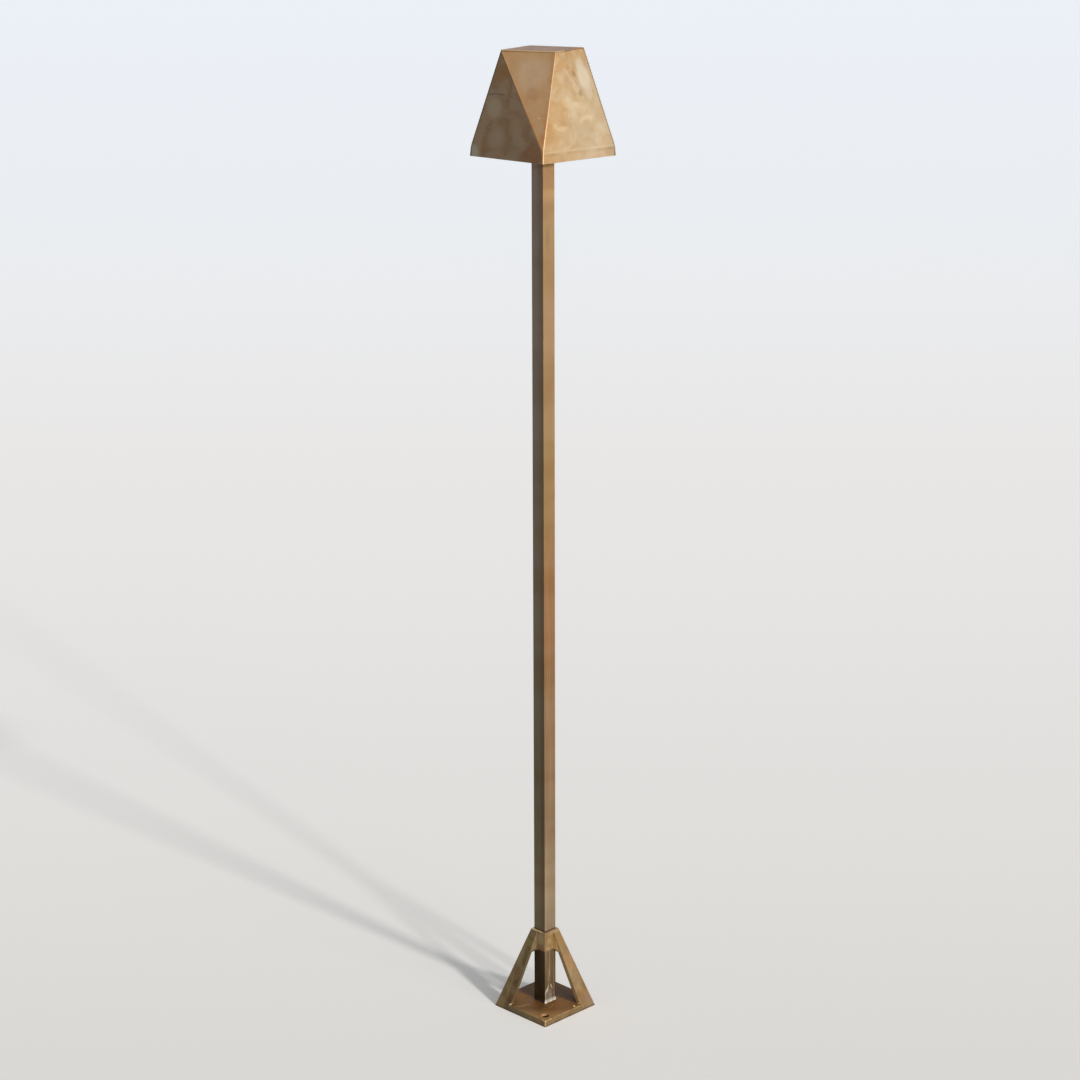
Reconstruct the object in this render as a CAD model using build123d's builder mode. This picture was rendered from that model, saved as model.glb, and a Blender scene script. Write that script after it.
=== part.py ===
from build123d import *
import os
from math import cos, hypot, radians, sin, sqrt, tan

# A tall path light of aged brass. A square stem stands on a square plate that is turned corner
# to the front, and is steadied by a two-legged yoke. A twisted four-sided shade sits over a
# plug-in lamp at its top. All lengths are in millimetres. The origin is under the middle of the
# plate, the plate's corners lie on the X and Y axes, and -Y is the front.

# Fits between pieces
slip_fit = 0.05
loose_fit = 0.15

# Base plate
plate_side = 74.6
plate_thick = 7.2
plate_corner_round = 1.0
plate_edge_round = 0.6
stem_seat_depth = 2.0
bolt_spacing = 80.0
bolt_hole_diameter = 5.2
bolt_sink_diameter = 8.4
cable_hole_diameter = 9.5

# Stem, a stock square tube
stem_side = 15.875
stem_wall = 1.5875
stem_edge_round = 0.5
stem_length = 897.5

# Solder round the stem's foot
solder_width = 2.2
solder_height = 3.2

# Yoke
yoke_height = 87.7
collar_side = 20.6
collar_height = 20.3
collar_corner_round = 0.6
collar_edge_round = 0.4
leg_thick = 5.0
leg_head_width = 8.6
leg_foot_width = 19.6
leg_ridge_round = 0.7
leg_edge_round = 0.8

# Cable grommet in the plate
grommet_bore = 6.5
grommet_flange_diameter = 12.2
grommet_flange_thick = 1.3
grommet_floor_gap = 0.3

# Head fitting in the top of the stem
spigot_length = 18.0
wire_hole_diameter = 7.0
flange_length = 36.0
flange_width = 30.0
flange_thick = 6.0
flange_corner_round = 3.0
boss_diameter = 20.0
boss_height = 6.0
hub_screw_diameter = 4.0
hub_screw_depth = 2.4
hub_screw_drop = 7.0
hub_screw_head_diameter = 7.0
hub_screw_head_height = 2.2

# Lamp holder
socket_diameter = 18.0
socket_height = 9.0
contact_diameter = 1.8
contact_end_gap = 0.9
socket_screw_pitch = 12.4
socket_screw_diameter = 2.5
socket_screw_depth = 5.0
socket_screw_head_diameter = 4.4
socket_screw_head_height = 1.6
socket_screw_sink = 2.2

# Lamp, a plug-in one with two pins
pin_pitch = 4.0
pin_diameter = 0.75
pin_length = 7.5
pin_root = 4.0
lamp_diameter = 12.0
lamp_base_height = 8.0
lamp_cover_height = 20.0
lamp_cover_round = 5.0
lamp_pull_travel = 8.0
lamp_head_room = 3.0

# Weather jar over the lamp
glass_diameter = 28.0
glass_wall = 2.0
glass_shoulder = 7.0
glass_lift_travel = 8.0
glass_head_room = 1.0

# Strap and peg that carry the shade
strap_width = 12.0
strap_thick = 2.5
strap_bend_radius = 3.0
carrier_screw_diameter = 3.0
carrier_screw_depth = 5.5
carrier_screw_head_diameter = 5.6
carrier_screw_head_height = 2.0
peg_side = 9.5
peg_height = 14.0
peg_lead_in = 0.8
peg_screw_diameter = 3.0
peg_screw_depth = 8.0
peg_screw_head_diameter = 5.6
peg_screw_head_angle = 90.0

# Shade
shade_side = 100.2
shade_height = 101.5
shade_sheet = 1.0
shade_top_side = 59.2
shade_turn = 17.25
hem_height = 9.2
hem_draw_in = 0.7
sleeve_wall = 1.5
sleeve_length = 17.0

# Thumb screw that holds the shade on its peg
thumb_screw_diameter = 4.0
thumb_screw_rise = 8.0
thumb_tip_gap = 0.1
thumb_neck_diameter = 6.5
thumb_neck_length = 2.0
thumb_neck_gap = 1.0
thumb_head_diameter = 10.0
thumb_head_length = 5.0
thumb_groove_count = 24
thumb_groove_diameter = 0.8

# Wires inside the stem
wire_diameter = 1.8
splice_diameter = 3.7
splice_length = 25.0
splice_height = 30.0
splice_grip = 8.0
supply_core_diameter = 2.4

# Levels, worked upward from the ground
collar_bottom_z = yoke_height - collar_height
stem_seat_z = plate_thick - stem_seat_depth
stem_top_z = stem_seat_z + stem_length
hub_screw_z = stem_top_z - hub_screw_drop
carrier_screw_z = stem_top_z + flange_thick / 2
flange_top_z = stem_top_z + flange_thick
boss_top_z = flange_top_z + boss_height
contact_bottom_z = boss_top_z + contact_end_gap
lamp_seat_z = boss_top_z + socket_height
socket_screw_seat_z = lamp_seat_z - socket_screw_sink
lamp_cover_z = lamp_seat_z + lamp_base_height
lamp_top_z = lamp_cover_z + lamp_cover_height
glass_top_z = lamp_top_z + lamp_pull_travel + lamp_head_room + glass_wall
bridge_bottom_z = glass_top_z + glass_lift_travel + glass_head_room
bridge_top_z = bridge_bottom_z + strap_thick
thumb_screw_z = bridge_top_z + thumb_screw_rise
shade_sheet_z = bridge_top_z + sleeve_length
shade_top_z = shade_sheet_z + shade_sheet
shade_bottom_z = shade_top_z - shade_height
shade_bend_z = shade_bottom_z + hem_height

# Sizes that follow from the ones above
stem_bore = stem_side - 2 * stem_wall
stem_hole_side = stem_side + 2 * slip_fit
stem_hole_round = stem_edge_round + slip_fit
leg_level_thick = leg_thick * hypot(1, (plate_side - collar_side) / 2 / yoke_height)
glass_bore = glass_diameter - 2 * glass_wall
sleeve_bore = peg_side + 2 * loose_fit
sleeve_side = sleeve_bore + 2 * sleeve_wall
bend_side = shade_side - 2 * hem_draw_in


def turned_plane(height):
    """A level plane whose sides run along the sides of the plate and the stem."""
    return Plane(origin=(0, 0, height), x_dir=(1, -1, 0), z_dir=(0, 0, 1))


def end_plane(reach, height, direction):
    """An upright plane that faces along a level direction, this far out from the stem's axis."""
    return Plane(origin=(0, 0, height), z_dir=direction).offset(reach)


def finish_piece(piece, name):
    """Names a finished piece and writes it as a file of its own."""
    piece.label = name
    export_step(piece, "parts/" + name + ".step")


hub_screw_directions = [(1, 1, 0), (-1, -1, 0)]
carrier_screw_directions = [(1, 0, 0), (-1, 0, 0)]
os.makedirs("parts", exist_ok=True)


# Yoke collar: a short square sleeve, brazed round the stem
with BuildPart() as yoke_collar:
    with BuildSketch(turned_plane(collar_bottom_z)):
        Rectangle(collar_side, collar_side)
    extrude(amount=collar_height)
    open_corners = yoke_collar.edges().filter_by(Axis.Z).group_by(Axis.X)[1]
    fillet(open_corners, radius=collar_corner_round)
    fillet(yoke_collar.edges().group_by(Axis.Z)[-1], radius=collar_edge_round)
    with BuildSketch(turned_plane(collar_bottom_z)):
        RectangleRounded(stem_hole_side, stem_hole_side, stem_hole_round)
    extrude(amount=collar_height, mode=Mode.SUBTRACT)
finish_piece(yoke_collar.part, "yoke_collar")


# Yoke legs: an angle section that tapers from the plate's corner up to the collar. Its outer
# faces lie in the sides of one pyramid, from the plate's bottom edges to the collar's top edges.
def leg_section(corner, width):
    """Draws the level section of a leg, an L with its outer corner on the ridge."""
    inside = corner + leg_level_thick
    end = corner + width
    Polyline(
        (corner, corner),
        (end, corner),
        (end, inside),
        (inside, inside),
        (inside, end),
        (corner, end),
        close=True,
    )


def yoke_leg(side):
    """A leg of the yoke, the left one for side -1 and the right one for side 1."""
    foot_plane = Plane(origin=(0, 0, 0), x_dir=(-side, side, 0), z_dir=(0, 0, 1))
    head_plane = foot_plane.offset(yoke_height)
    with BuildPart() as leg:
        with BuildSketch(foot_plane):
            with BuildLine():
                leg_section(-plate_side / 2, leg_foot_width)
            make_face()
        with BuildSketch(head_plane):
            with BuildLine():
                leg_section(-collar_side / 2, leg_head_width)
            make_face()
        loft(ruled=True)
        rising_edges = leg.edges().filter_by(lambda edge: edge.length >= yoke_height)
        flange_edges = rising_edges.group_by(SortBy.LENGTH)[0]
        fillet(flange_edges, radius=leg_edge_round)
        rising_edges = leg.edges().filter_by(lambda edge: edge.length >= yoke_height)
        ridge = rising_edges.sort_by(lambda edge: side * edge.center().X)[-1]
        fillet(ridge, radius=leg_ridge_round)
        with BuildSketch(foot_plane):
            Rectangle(collar_side, collar_side)
        extrude(amount=yoke_height, mode=Mode.SUBTRACT)
    return leg.part


yoke_leg_left = yoke_leg(-1)
yoke_leg_right = yoke_leg(1)
finish_piece(yoke_leg_left, "yoke_leg_left")
finish_piece(yoke_leg_right, "yoke_leg_right")


# Base plate: cut from flat bar, with a seat for the stem, two countersunk bolt holes on its
# front to back diagonal, a cable hole with a recess for the grommet's lower flange, and left and
# right corners cut away down to its bottom edges, where the legs' feet are let in
grommet_recess_depth = grommet_floor_gap + grommet_flange_thick
with BuildPart() as base_plate:
    with BuildSketch(turned_plane(0)):
        RectangleRounded(plate_side, plate_side, plate_corner_round)
    extrude(amount=plate_thick)
    fillet(base_plate.edges().group_by(Axis.Z)[-1], radius=plate_edge_round)
    with BuildSketch(turned_plane(stem_seat_z)):
        RectangleRounded(stem_hole_side, stem_hole_side, stem_hole_round)
    extrude(amount=stem_seat_depth, mode=Mode.SUBTRACT)
    with Locations(Plane.XY.offset(stem_seat_z)):
        Hole(cable_hole_diameter / 2)
    with BuildSketch(Plane.XY):
        Circle(grommet_flange_diameter / 2 + loose_fit)
    extrude(amount=grommet_recess_depth, mode=Mode.SUBTRACT)
    with Locations(Plane.XY.offset(plate_thick)):
        with GridLocations(0, bolt_spacing, 1, 2):
            CounterSinkHole(bolt_hole_diameter / 2, bolt_sink_diameter / 2)
    for side in (-1, 1):
        with BuildSketch(Plane(origin=(0, 0, 0), x_dir=(-side, side, 0), z_dir=(0, 0, 1))):
            with BuildLine():
                leg_section(-plate_side / 2, leg_foot_width)
            make_face()
        extrude(amount=plate_thick, mode=Mode.SUBTRACT)
    add(yoke_leg_left, mode=Mode.SUBTRACT)
    add(yoke_leg_right, mode=Mode.SUBTRACT)
finish_piece(base_plate.part, "base_plate")


# Stem: one length of square tube, from its seat in the plate up to the head fitting, with
# clearance holes for the two hub screws
with BuildPart() as stem_tube:
    with BuildSketch(turned_plane(stem_seat_z)):
        RectangleRounded(stem_side, stem_side, stem_edge_round)
        Rectangle(stem_bore, stem_bore, mode=Mode.SUBTRACT)
    extrude(amount=stem_length)
    for direction in hub_screw_directions:
        with BuildSketch(end_plane(stem_side / 2, hub_screw_z, direction)):
            Circle(hub_screw_diameter / 2 + loose_fit)
        extrude(amount=-stem_wall, mode=Mode.SUBTRACT)
finish_piece(stem_tube.part, "stem_tube")


# Solder fillet round the stem's foot
with BuildPart() as stem_solder:
    with BuildSketch(turned_plane(plate_thick)):
        Rectangle(stem_side + 2 * solder_width, stem_side + 2 * solder_width)
    with BuildSketch(turned_plane(plate_thick + solder_height)):
        Rectangle(stem_side + 2 * slip_fit, stem_side + 2 * slip_fit)
    loft(ruled=True)
    with BuildSketch(turned_plane(plate_thick)):
        RectangleRounded(stem_side, stem_side, stem_edge_round)
    extrude(amount=solder_height, mode=Mode.SUBTRACT)
finish_piece(stem_solder.part, "stem_solder")


# Cable grommet: a rubber bush that grips the plate round its cable hole, its lower flange clear
# of the ground in its recess and its upper flange inside the foot of the stem
with BuildPart() as cable_grommet:
    with BuildSketch(Plane.XY.offset(grommet_floor_gap)):
        Circle(grommet_flange_diameter / 2)
    extrude(amount=grommet_flange_thick)
    with BuildSketch(Plane.XY.offset(grommet_recess_depth)):
        Circle(cable_hole_diameter / 2 - slip_fit)
    extrude(amount=stem_seat_z - grommet_recess_depth)
    with BuildSketch(Plane.XY.offset(stem_seat_z)):
        Circle(grommet_flange_diameter / 2)
    extrude(amount=grommet_flange_thick)
    with Locations(Plane.XY.offset(stem_seat_z)):
        Hole(grommet_bore / 2)
finish_piece(cable_grommet.part, "cable_grommet")


# Head fitting: a square spigot that fills the stem's top, a flange that carries the strap and
# the jar, and a boss that carries the lamp holder. The wires pass up through its middle.
with BuildPart() as stem_hub:
    with BuildSketch(turned_plane(stem_top_z)):
        Rectangle(stem_bore - 2 * slip_fit, stem_bore - 2 * slip_fit)
    extrude(amount=-spigot_length)
    with BuildSketch(Plane.XY.offset(stem_top_z)):
        RectangleRounded(flange_length, flange_width, flange_corner_round)
    extrude(amount=flange_thick)
    with BuildSketch(Plane.XY.offset(flange_top_z)):
        Circle(boss_diameter / 2)
    extrude(amount=boss_height)
    with Locations(Plane.XY.offset(boss_top_z)):
        Hole(wire_hole_diameter / 2)
        with GridLocations(0, socket_screw_pitch, 1, 2):
            Hole(socket_screw_diameter / 2 + slip_fit, depth=socket_screw_depth + slip_fit)
    for direction in hub_screw_directions:
        with BuildSketch(end_plane(stem_bore / 2 - slip_fit, hub_screw_z, direction)):
            Circle(hub_screw_diameter / 2 + slip_fit)
        extrude(amount=-hub_screw_depth, mode=Mode.SUBTRACT)
    for direction in carrier_screw_directions:
        with BuildSketch(end_plane(flange_length / 2, carrier_screw_z, direction)):
            Circle(carrier_screw_diameter / 2 + slip_fit)
        extrude(amount=-carrier_screw_depth - slip_fit, mode=Mode.SUBTRACT)
finish_piece(stem_hub.part, "stem_hub")


# Hub screws: two pan-head screws through opposite sides of the stem into the head fitting
with BuildPart() as hub_screws:
    for direction in hub_screw_directions:
        with BuildSketch(end_plane(stem_side / 2, hub_screw_z, direction)):
            Circle(hub_screw_head_diameter / 2)
        extrude(amount=hub_screw_head_height)
        with BuildSketch(end_plane(stem_side / 2, hub_screw_z, direction)):
            Circle(hub_screw_diameter / 2)
        extrude(amount=-stem_wall - hub_screw_depth)
finish_piece(hub_screws.part, "hub_screws")


# Lamp holder: a ceramic puck on the boss, bored for two contacts and counterbored for two screws
with BuildPart() as lamp_socket:
    with BuildSketch(Plane.XY.offset(boss_top_z)):
        Circle(socket_diameter / 2)
    extrude(amount=socket_height)
    with Locations(Plane.XY.offset(lamp_seat_z)):
        with GridLocations(pin_pitch, 0, 2, 1):
            Hole(contact_diameter / 2 + slip_fit)
        with GridLocations(0, socket_screw_pitch, 1, 2):
            CounterBoreHole(
                socket_screw_diameter / 2 + loose_fit,
                socket_screw_head_diameter / 2 + loose_fit,
                socket_screw_sink,
            )
finish_piece(lamp_socket.part, "lamp_socket")


# Contacts: two sleeves in the lamp holder that grip the lamp's pins
with BuildPart() as lamp_contacts:
    with BuildSketch(Plane.XY.offset(contact_bottom_z)):
        with GridLocations(pin_pitch, 0, 2, 1):
            Circle(contact_diameter / 2)
            Circle(pin_diameter / 2 + slip_fit, mode=Mode.SUBTRACT)
    extrude(amount=lamp_seat_z - contact_bottom_z)
finish_piece(lamp_contacts.part, "lamp_contacts")


# Lamp holder screws: two pan-head screws down into the boss
with BuildPart() as socket_screws:
    with BuildSketch(Plane.XY.offset(socket_screw_seat_z)):
        with GridLocations(0, socket_screw_pitch, 1, 2):
            Circle(socket_screw_head_diameter / 2)
    extrude(amount=socket_screw_head_height)
    with BuildSketch(Plane.XY.offset(boss_top_z - socket_screw_depth)):
        with GridLocations(0, socket_screw_pitch, 1, 2):
            Circle(socket_screw_diameter / 2)
    extrude(amount=socket_screw_seat_z - boss_top_z + socket_screw_depth)
finish_piece(socket_screws.part, "socket_screws")


# Lamp: a moulded base, two pins, and a frosted cover over the light source
with BuildPart() as lamp_base:
    with BuildSketch(Plane.XY.offset(lamp_seat_z)):
        Circle(lamp_diameter / 2)
    extrude(amount=lamp_base_height)
    with BuildSketch(Plane.XY.offset(lamp_seat_z)):
        with GridLocations(pin_pitch, 0, 2, 1):
            Circle(pin_diameter / 2 + slip_fit)
    extrude(amount=pin_root, mode=Mode.SUBTRACT)
finish_piece(lamp_base.part, "lamp_base")

with BuildPart() as lamp_pins:
    with BuildSketch(Plane.XY.offset(lamp_seat_z - pin_length)):
        with GridLocations(pin_pitch, 0, 2, 1):
            Circle(pin_diameter / 2)
    extrude(amount=pin_length + pin_root)
finish_piece(lamp_pins.part, "lamp_pins")

with BuildPart() as lamp_cover:
    with BuildSketch(Plane.XY.offset(lamp_cover_z)):
        Circle(lamp_diameter / 2)
    extrude(amount=lamp_cover_height)
    fillet(lamp_cover.edges().group_by(Axis.Z)[-1], radius=lamp_cover_round)
finish_piece(lamp_cover.part, "lamp_cover")


# Weather jar: frosted glass, closed at the top, its rim on the head fitting's flange
with BuildPart() as glass_cover:
    with BuildSketch(Plane.XY.offset(flange_top_z)):
        Circle(glass_diameter / 2)
    extrude(amount=glass_top_z - flange_top_z)
    fillet(glass_cover.edges().group_by(Axis.Z)[-1], radius=glass_shoulder)
    offset(amount=-glass_wall, openings=glass_cover.faces().sort_by(Axis.Z)[0])
finish_piece(glass_cover.part, "glass_cover")


# Gasket: a rubber ring round the boss that grips the jar
gasket_radius = (glass_bore - boss_diameter) / 4 - slip_fit
with BuildPart() as glass_gasket:
    with BuildSketch(Plane.XZ):
        with Locations(((glass_bore + boss_diameter) / 4, flange_top_z + gasket_radius + slip_fit)):
            Circle(gasket_radius)
    revolve(axis=Axis.Z)
finish_piece(glass_gasket.part, "glass_gasket")


# Strap: bent over the jar from flat bar, its ends screwed to the ends of the flange, with a
# countersunk hole under the peg
strap_reach = flange_length / 2
with BuildPart() as shade_carrier:
    with BuildSketch(Plane.XZ):
        with BuildLine():
            strap_inside = FilletPolyline(
                (-strap_reach, stem_top_z),
                (-strap_reach, bridge_bottom_z),
                (strap_reach, bridge_bottom_z),
                (strap_reach, stem_top_z),
                radius=strap_bend_radius,
            )
            offset(strap_inside, amount=strap_thick, side=Side.LEFT)
        make_face()
    extrude(amount=strap_width / 2, both=True)
    with Locations(Plane.XY.offset(bridge_bottom_z).rotated((180, 0, 0))):
        CounterSinkHole(
            peg_screw_diameter / 2 + loose_fit,
            peg_screw_head_diameter / 2 + loose_fit,
            depth=2 * strap_thick,
            counter_sink_angle=peg_screw_head_angle,
        )
    for direction in carrier_screw_directions:
        with BuildSketch(end_plane(strap_reach, carrier_screw_z, direction)):
            Circle(carrier_screw_diameter / 2 + loose_fit)
        extrude(amount=strap_thick, mode=Mode.SUBTRACT)
finish_piece(shade_carrier.part, "shade_carrier")


# Strap screws: two pan-head screws through the strap's ends into the flange
with BuildPart() as carrier_screws:
    for direction in carrier_screw_directions:
        with BuildSketch(end_plane(strap_reach + strap_thick, carrier_screw_z, direction)):
            Circle(carrier_screw_head_diameter / 2)
        extrude(amount=carrier_screw_head_height)
        with BuildSketch(end_plane(strap_reach + strap_thick, carrier_screw_z, direction)):
            Circle(carrier_screw_diameter / 2)
        extrude(amount=-strap_thick - carrier_screw_depth)
finish_piece(carrier_screws.part, "carrier_screws")


# Shade peg: a square peg on the strap, tapped from below
with BuildPart() as shade_peg:
    with BuildSketch(Plane.XY.offset(bridge_top_z)):
        Rectangle(peg_side, peg_side)
    extrude(amount=peg_height)
    chamfer(shade_peg.edges().group_by(Axis.Z)[-1], length=peg_lead_in)
    with BuildSketch(Plane.XY.offset(bridge_top_z)):
        Circle(peg_screw_diameter / 2 + slip_fit)
    extrude(amount=peg_screw_depth + slip_fit, mode=Mode.SUBTRACT)
finish_piece(shade_peg.part, "shade_peg")


# Peg screw: countersunk, up through the strap into the peg
peg_screw_radius = peg_screw_diameter / 2
peg_head_radius = peg_screw_head_diameter / 2
peg_head_height = (peg_head_radius - peg_screw_radius) / tan(radians(peg_screw_head_angle / 2))
with BuildPart() as peg_screw:
    with BuildSketch(Plane.XZ):
        with BuildLine():
            Polyline(
                (0, bridge_bottom_z),
                (peg_head_radius, bridge_bottom_z),
                (peg_screw_radius, bridge_bottom_z + peg_head_height),
                (peg_screw_radius, bridge_top_z + peg_screw_depth),
                (0, bridge_top_z + peg_screw_depth),
                close=True,
            )
        make_face()
    revolve(axis=Axis.Z)
finish_piece(peg_screw.part, "peg_screw")


# Shade sleeve: square tube brazed under the shade's top, dropped over the peg
with BuildPart() as shade_sleeve:
    with BuildSketch(Plane.XY.offset(bridge_top_z)):
        Rectangle(sleeve_side, sleeve_side)
        Rectangle(sleeve_bore, sleeve_bore, mode=Mode.SUBTRACT)
    extrude(amount=sleeve_length)
    with BuildSketch(end_plane(sleeve_side / 2, thumb_screw_z, (0, -1, 0))):
        Circle(thumb_screw_diameter / 2 + slip_fit)
    extrude(amount=-sleeve_wall, mode=Mode.SUBTRACT)
finish_piece(shade_sleeve.part, "shade_sleeve")


# Thumb screw: a knurled head on a short screw that bears on the front of the peg
thumb_tip_reach = peg_side / 2 + thumb_tip_gap
thumb_neck_reach = sleeve_side / 2 + thumb_neck_gap
thumb_head_reach = thumb_neck_reach + thumb_neck_length
with BuildPart() as thumb_screw:
    with BuildSketch(end_plane(thumb_tip_reach, thumb_screw_z, (0, -1, 0))):
        Circle(thumb_screw_diameter / 2)
    extrude(amount=thumb_neck_reach - thumb_tip_reach)
    with BuildSketch(end_plane(thumb_neck_reach, thumb_screw_z, (0, -1, 0))):
        Circle(thumb_neck_diameter / 2)
    extrude(amount=thumb_neck_length)
    with BuildSketch(end_plane(thumb_head_reach, thumb_screw_z, (0, -1, 0))):
        Circle(thumb_head_diameter / 2)
        with PolarLocations(thumb_head_diameter / 2, thumb_groove_count):
            Circle(thumb_groove_diameter / 2, mode=Mode.SUBTRACT)
    extrude(amount=thumb_head_length)
finish_piece(thumb_screw.part, "thumb_screw")


# Shade shell: one sheet folded into four sides and an upright hem. The mouth's corners are in
# line with the stem's, the top is turned, and each side is folded once across, from its upper
# left corner to its lower right corner.
def square_corners(side, turn, height):
    """The corners of a level square, the front one first, then anticlockwise from above."""
    reach = side / sqrt(2)
    corners = []
    for quarter in range(4):
        angle = radians(90 * quarter - 90 + turn)
        corners.append(Vector(reach * cos(angle), reach * sin(angle), height))
    return corners


def twisted_body(lower, upper):
    """The closed body between two level squares, with each side folded across."""
    faces = [Face(Wire.make_polygon(lower)), Face(Wire.make_polygon(upper))]
    for near in range(4):
        far = (near + 1) % 4
        faces.append(Face(Wire.make_polygon([lower[near], lower[far], upper[near]])))
        faces.append(Face(Wire.make_polygon([lower[far], upper[far], upper[near]])))
    return Solid(Shell(faces))


shade_outside = twisted_body(
    square_corners(bend_side, 0, shade_bend_z),
    square_corners(shade_top_side, shade_turn, shade_sheet_z),
)
shade_inside = twisted_body(
    square_corners(bend_side - 2 * shade_sheet, 0, shade_bend_z),
    square_corners(shade_top_side - 2 * shade_sheet, shade_turn, shade_sheet_z),
)
with BuildPart() as shade_shell:
    with BuildSketch(turned_plane(shade_bottom_z)):
        Rectangle(shade_side, shade_side)
    with BuildSketch(turned_plane(shade_bend_z)):
        Rectangle(bend_side, bend_side)
    loft(ruled=True)
    add(shade_outside)
    with BuildSketch(turned_plane(shade_bottom_z)):
        Rectangle(shade_side - 2 * shade_sheet, shade_side - 2 * shade_sheet)
    with BuildSketch(turned_plane(shade_bend_z)):
        Rectangle(bend_side - 2 * shade_sheet, bend_side - 2 * shade_sheet)
    loft(ruled=True, mode=Mode.SUBTRACT)
    add(shade_inside, mode=Mode.SUBTRACT)
finish_piece(shade_shell.part, "shade_shell")


# Shade top: a flat square of sheet, brazed on the shell's upper edge
with BuildPart() as shade_top:
    with BuildSketch(Plane.XY.offset(shade_sheet_z)):
        Rectangle(shade_top_side, shade_top_side, rotation=shade_turn + 45)
    extrude(amount=shade_sheet)
finish_piece(shade_top.part, "shade_top")


# Lead wires: two insulated wires, straight up the stem from their splices to the contacts
wire_bottom_z = splice_height + splice_length - splice_grip
for side, name in [(-1, "lead_wire_left"), (1, "lead_wire_right")]:
    with BuildPart() as lead_wire:
        with BuildSketch(Plane.XY.offset(wire_bottom_z)):
            with Locations((side * pin_pitch / 2, 0)):
                Circle(wire_diameter / 2)
        extrude(amount=contact_bottom_z - wire_bottom_z)
    finish_piece(lead_wire.part, name)


# Wire splices: crimp barrels on the lower ends of the wires, open below for the supply's cores
with BuildPart() as wire_splices:
    with BuildSketch(Plane.XY.offset(splice_height)):
        with GridLocations(pin_pitch, 0, 2, 1):
            Circle(splice_diameter / 2)
    extrude(amount=splice_length)
    with BuildSketch(Plane.XY.offset(wire_bottom_z)):
        with GridLocations(pin_pitch, 0, 2, 1):
            Circle(wire_diameter / 2 + slip_fit)
    extrude(amount=splice_grip, mode=Mode.SUBTRACT)
    with BuildSketch(Plane.XY.offset(splice_height)):
        with GridLocations(pin_pitch, 0, 2, 1):
            Circle(supply_core_diameter / 2)
    extrude(amount=splice_grip, mode=Mode.SUBTRACT)
finish_piece(wire_splices.part, "wire_splices")
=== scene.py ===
from math import cos, pi, radians, sin, sqrt

import bmesh
import bpy
from mathutils import Matrix, Vector, noise


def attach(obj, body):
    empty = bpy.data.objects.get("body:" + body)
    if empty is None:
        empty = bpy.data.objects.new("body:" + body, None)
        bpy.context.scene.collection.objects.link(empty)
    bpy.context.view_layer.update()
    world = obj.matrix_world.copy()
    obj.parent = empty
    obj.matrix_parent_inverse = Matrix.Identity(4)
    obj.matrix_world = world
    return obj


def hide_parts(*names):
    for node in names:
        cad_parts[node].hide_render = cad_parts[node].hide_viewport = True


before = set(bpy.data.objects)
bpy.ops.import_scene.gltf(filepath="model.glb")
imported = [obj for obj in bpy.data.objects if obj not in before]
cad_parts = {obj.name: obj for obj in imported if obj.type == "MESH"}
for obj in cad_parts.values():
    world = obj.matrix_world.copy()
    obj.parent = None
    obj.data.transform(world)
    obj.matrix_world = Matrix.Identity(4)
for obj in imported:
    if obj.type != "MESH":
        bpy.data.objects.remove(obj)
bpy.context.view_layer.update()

scene = bpy.context.scene


# Camera: in front of one corner of the light and a little above the shade, looking down the whole
# length of the stem.
camera_data = bpy.data.cameras.new("camera")
camera_data.sensor_width = 36.0
camera_data.lens = 83.92
camera_data.clip_end = 300.0
camera = bpy.data.objects.new("camera", camera_data)
scene.collection.objects.link(camera)
scene.camera = camera
camera_place = Vector((-0.0039, -2.4312, 1.1817))
camera_pitch = radians(15.461)
camera_roll = radians(-0.171)
camera.matrix_world = (
    Matrix.Translation(camera_place)
    @ Matrix.Rotation(pi / 2 - camera_pitch, 4, "X")
    @ Matrix.Rotation(camera_roll, 4, "Z")
)


# Base plate: a square of thick brass bar, sawn, drilled and countersunk, that lies with a corner
# to the front. It has aged brown on top, and is rubbed bright along its edges.
def tint(red, green, blue):
    """A colour from its 0 to 255 screen values, in the shader's linear light."""
    linear = []
    for value in (red / 255, green / 255, blue / 255):
        linear.append(value / 12.92 if value <= 0.04045 else ((value + 0.055) / 1.055) ** 2.4)
    return (*linear, 1.0)


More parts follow.
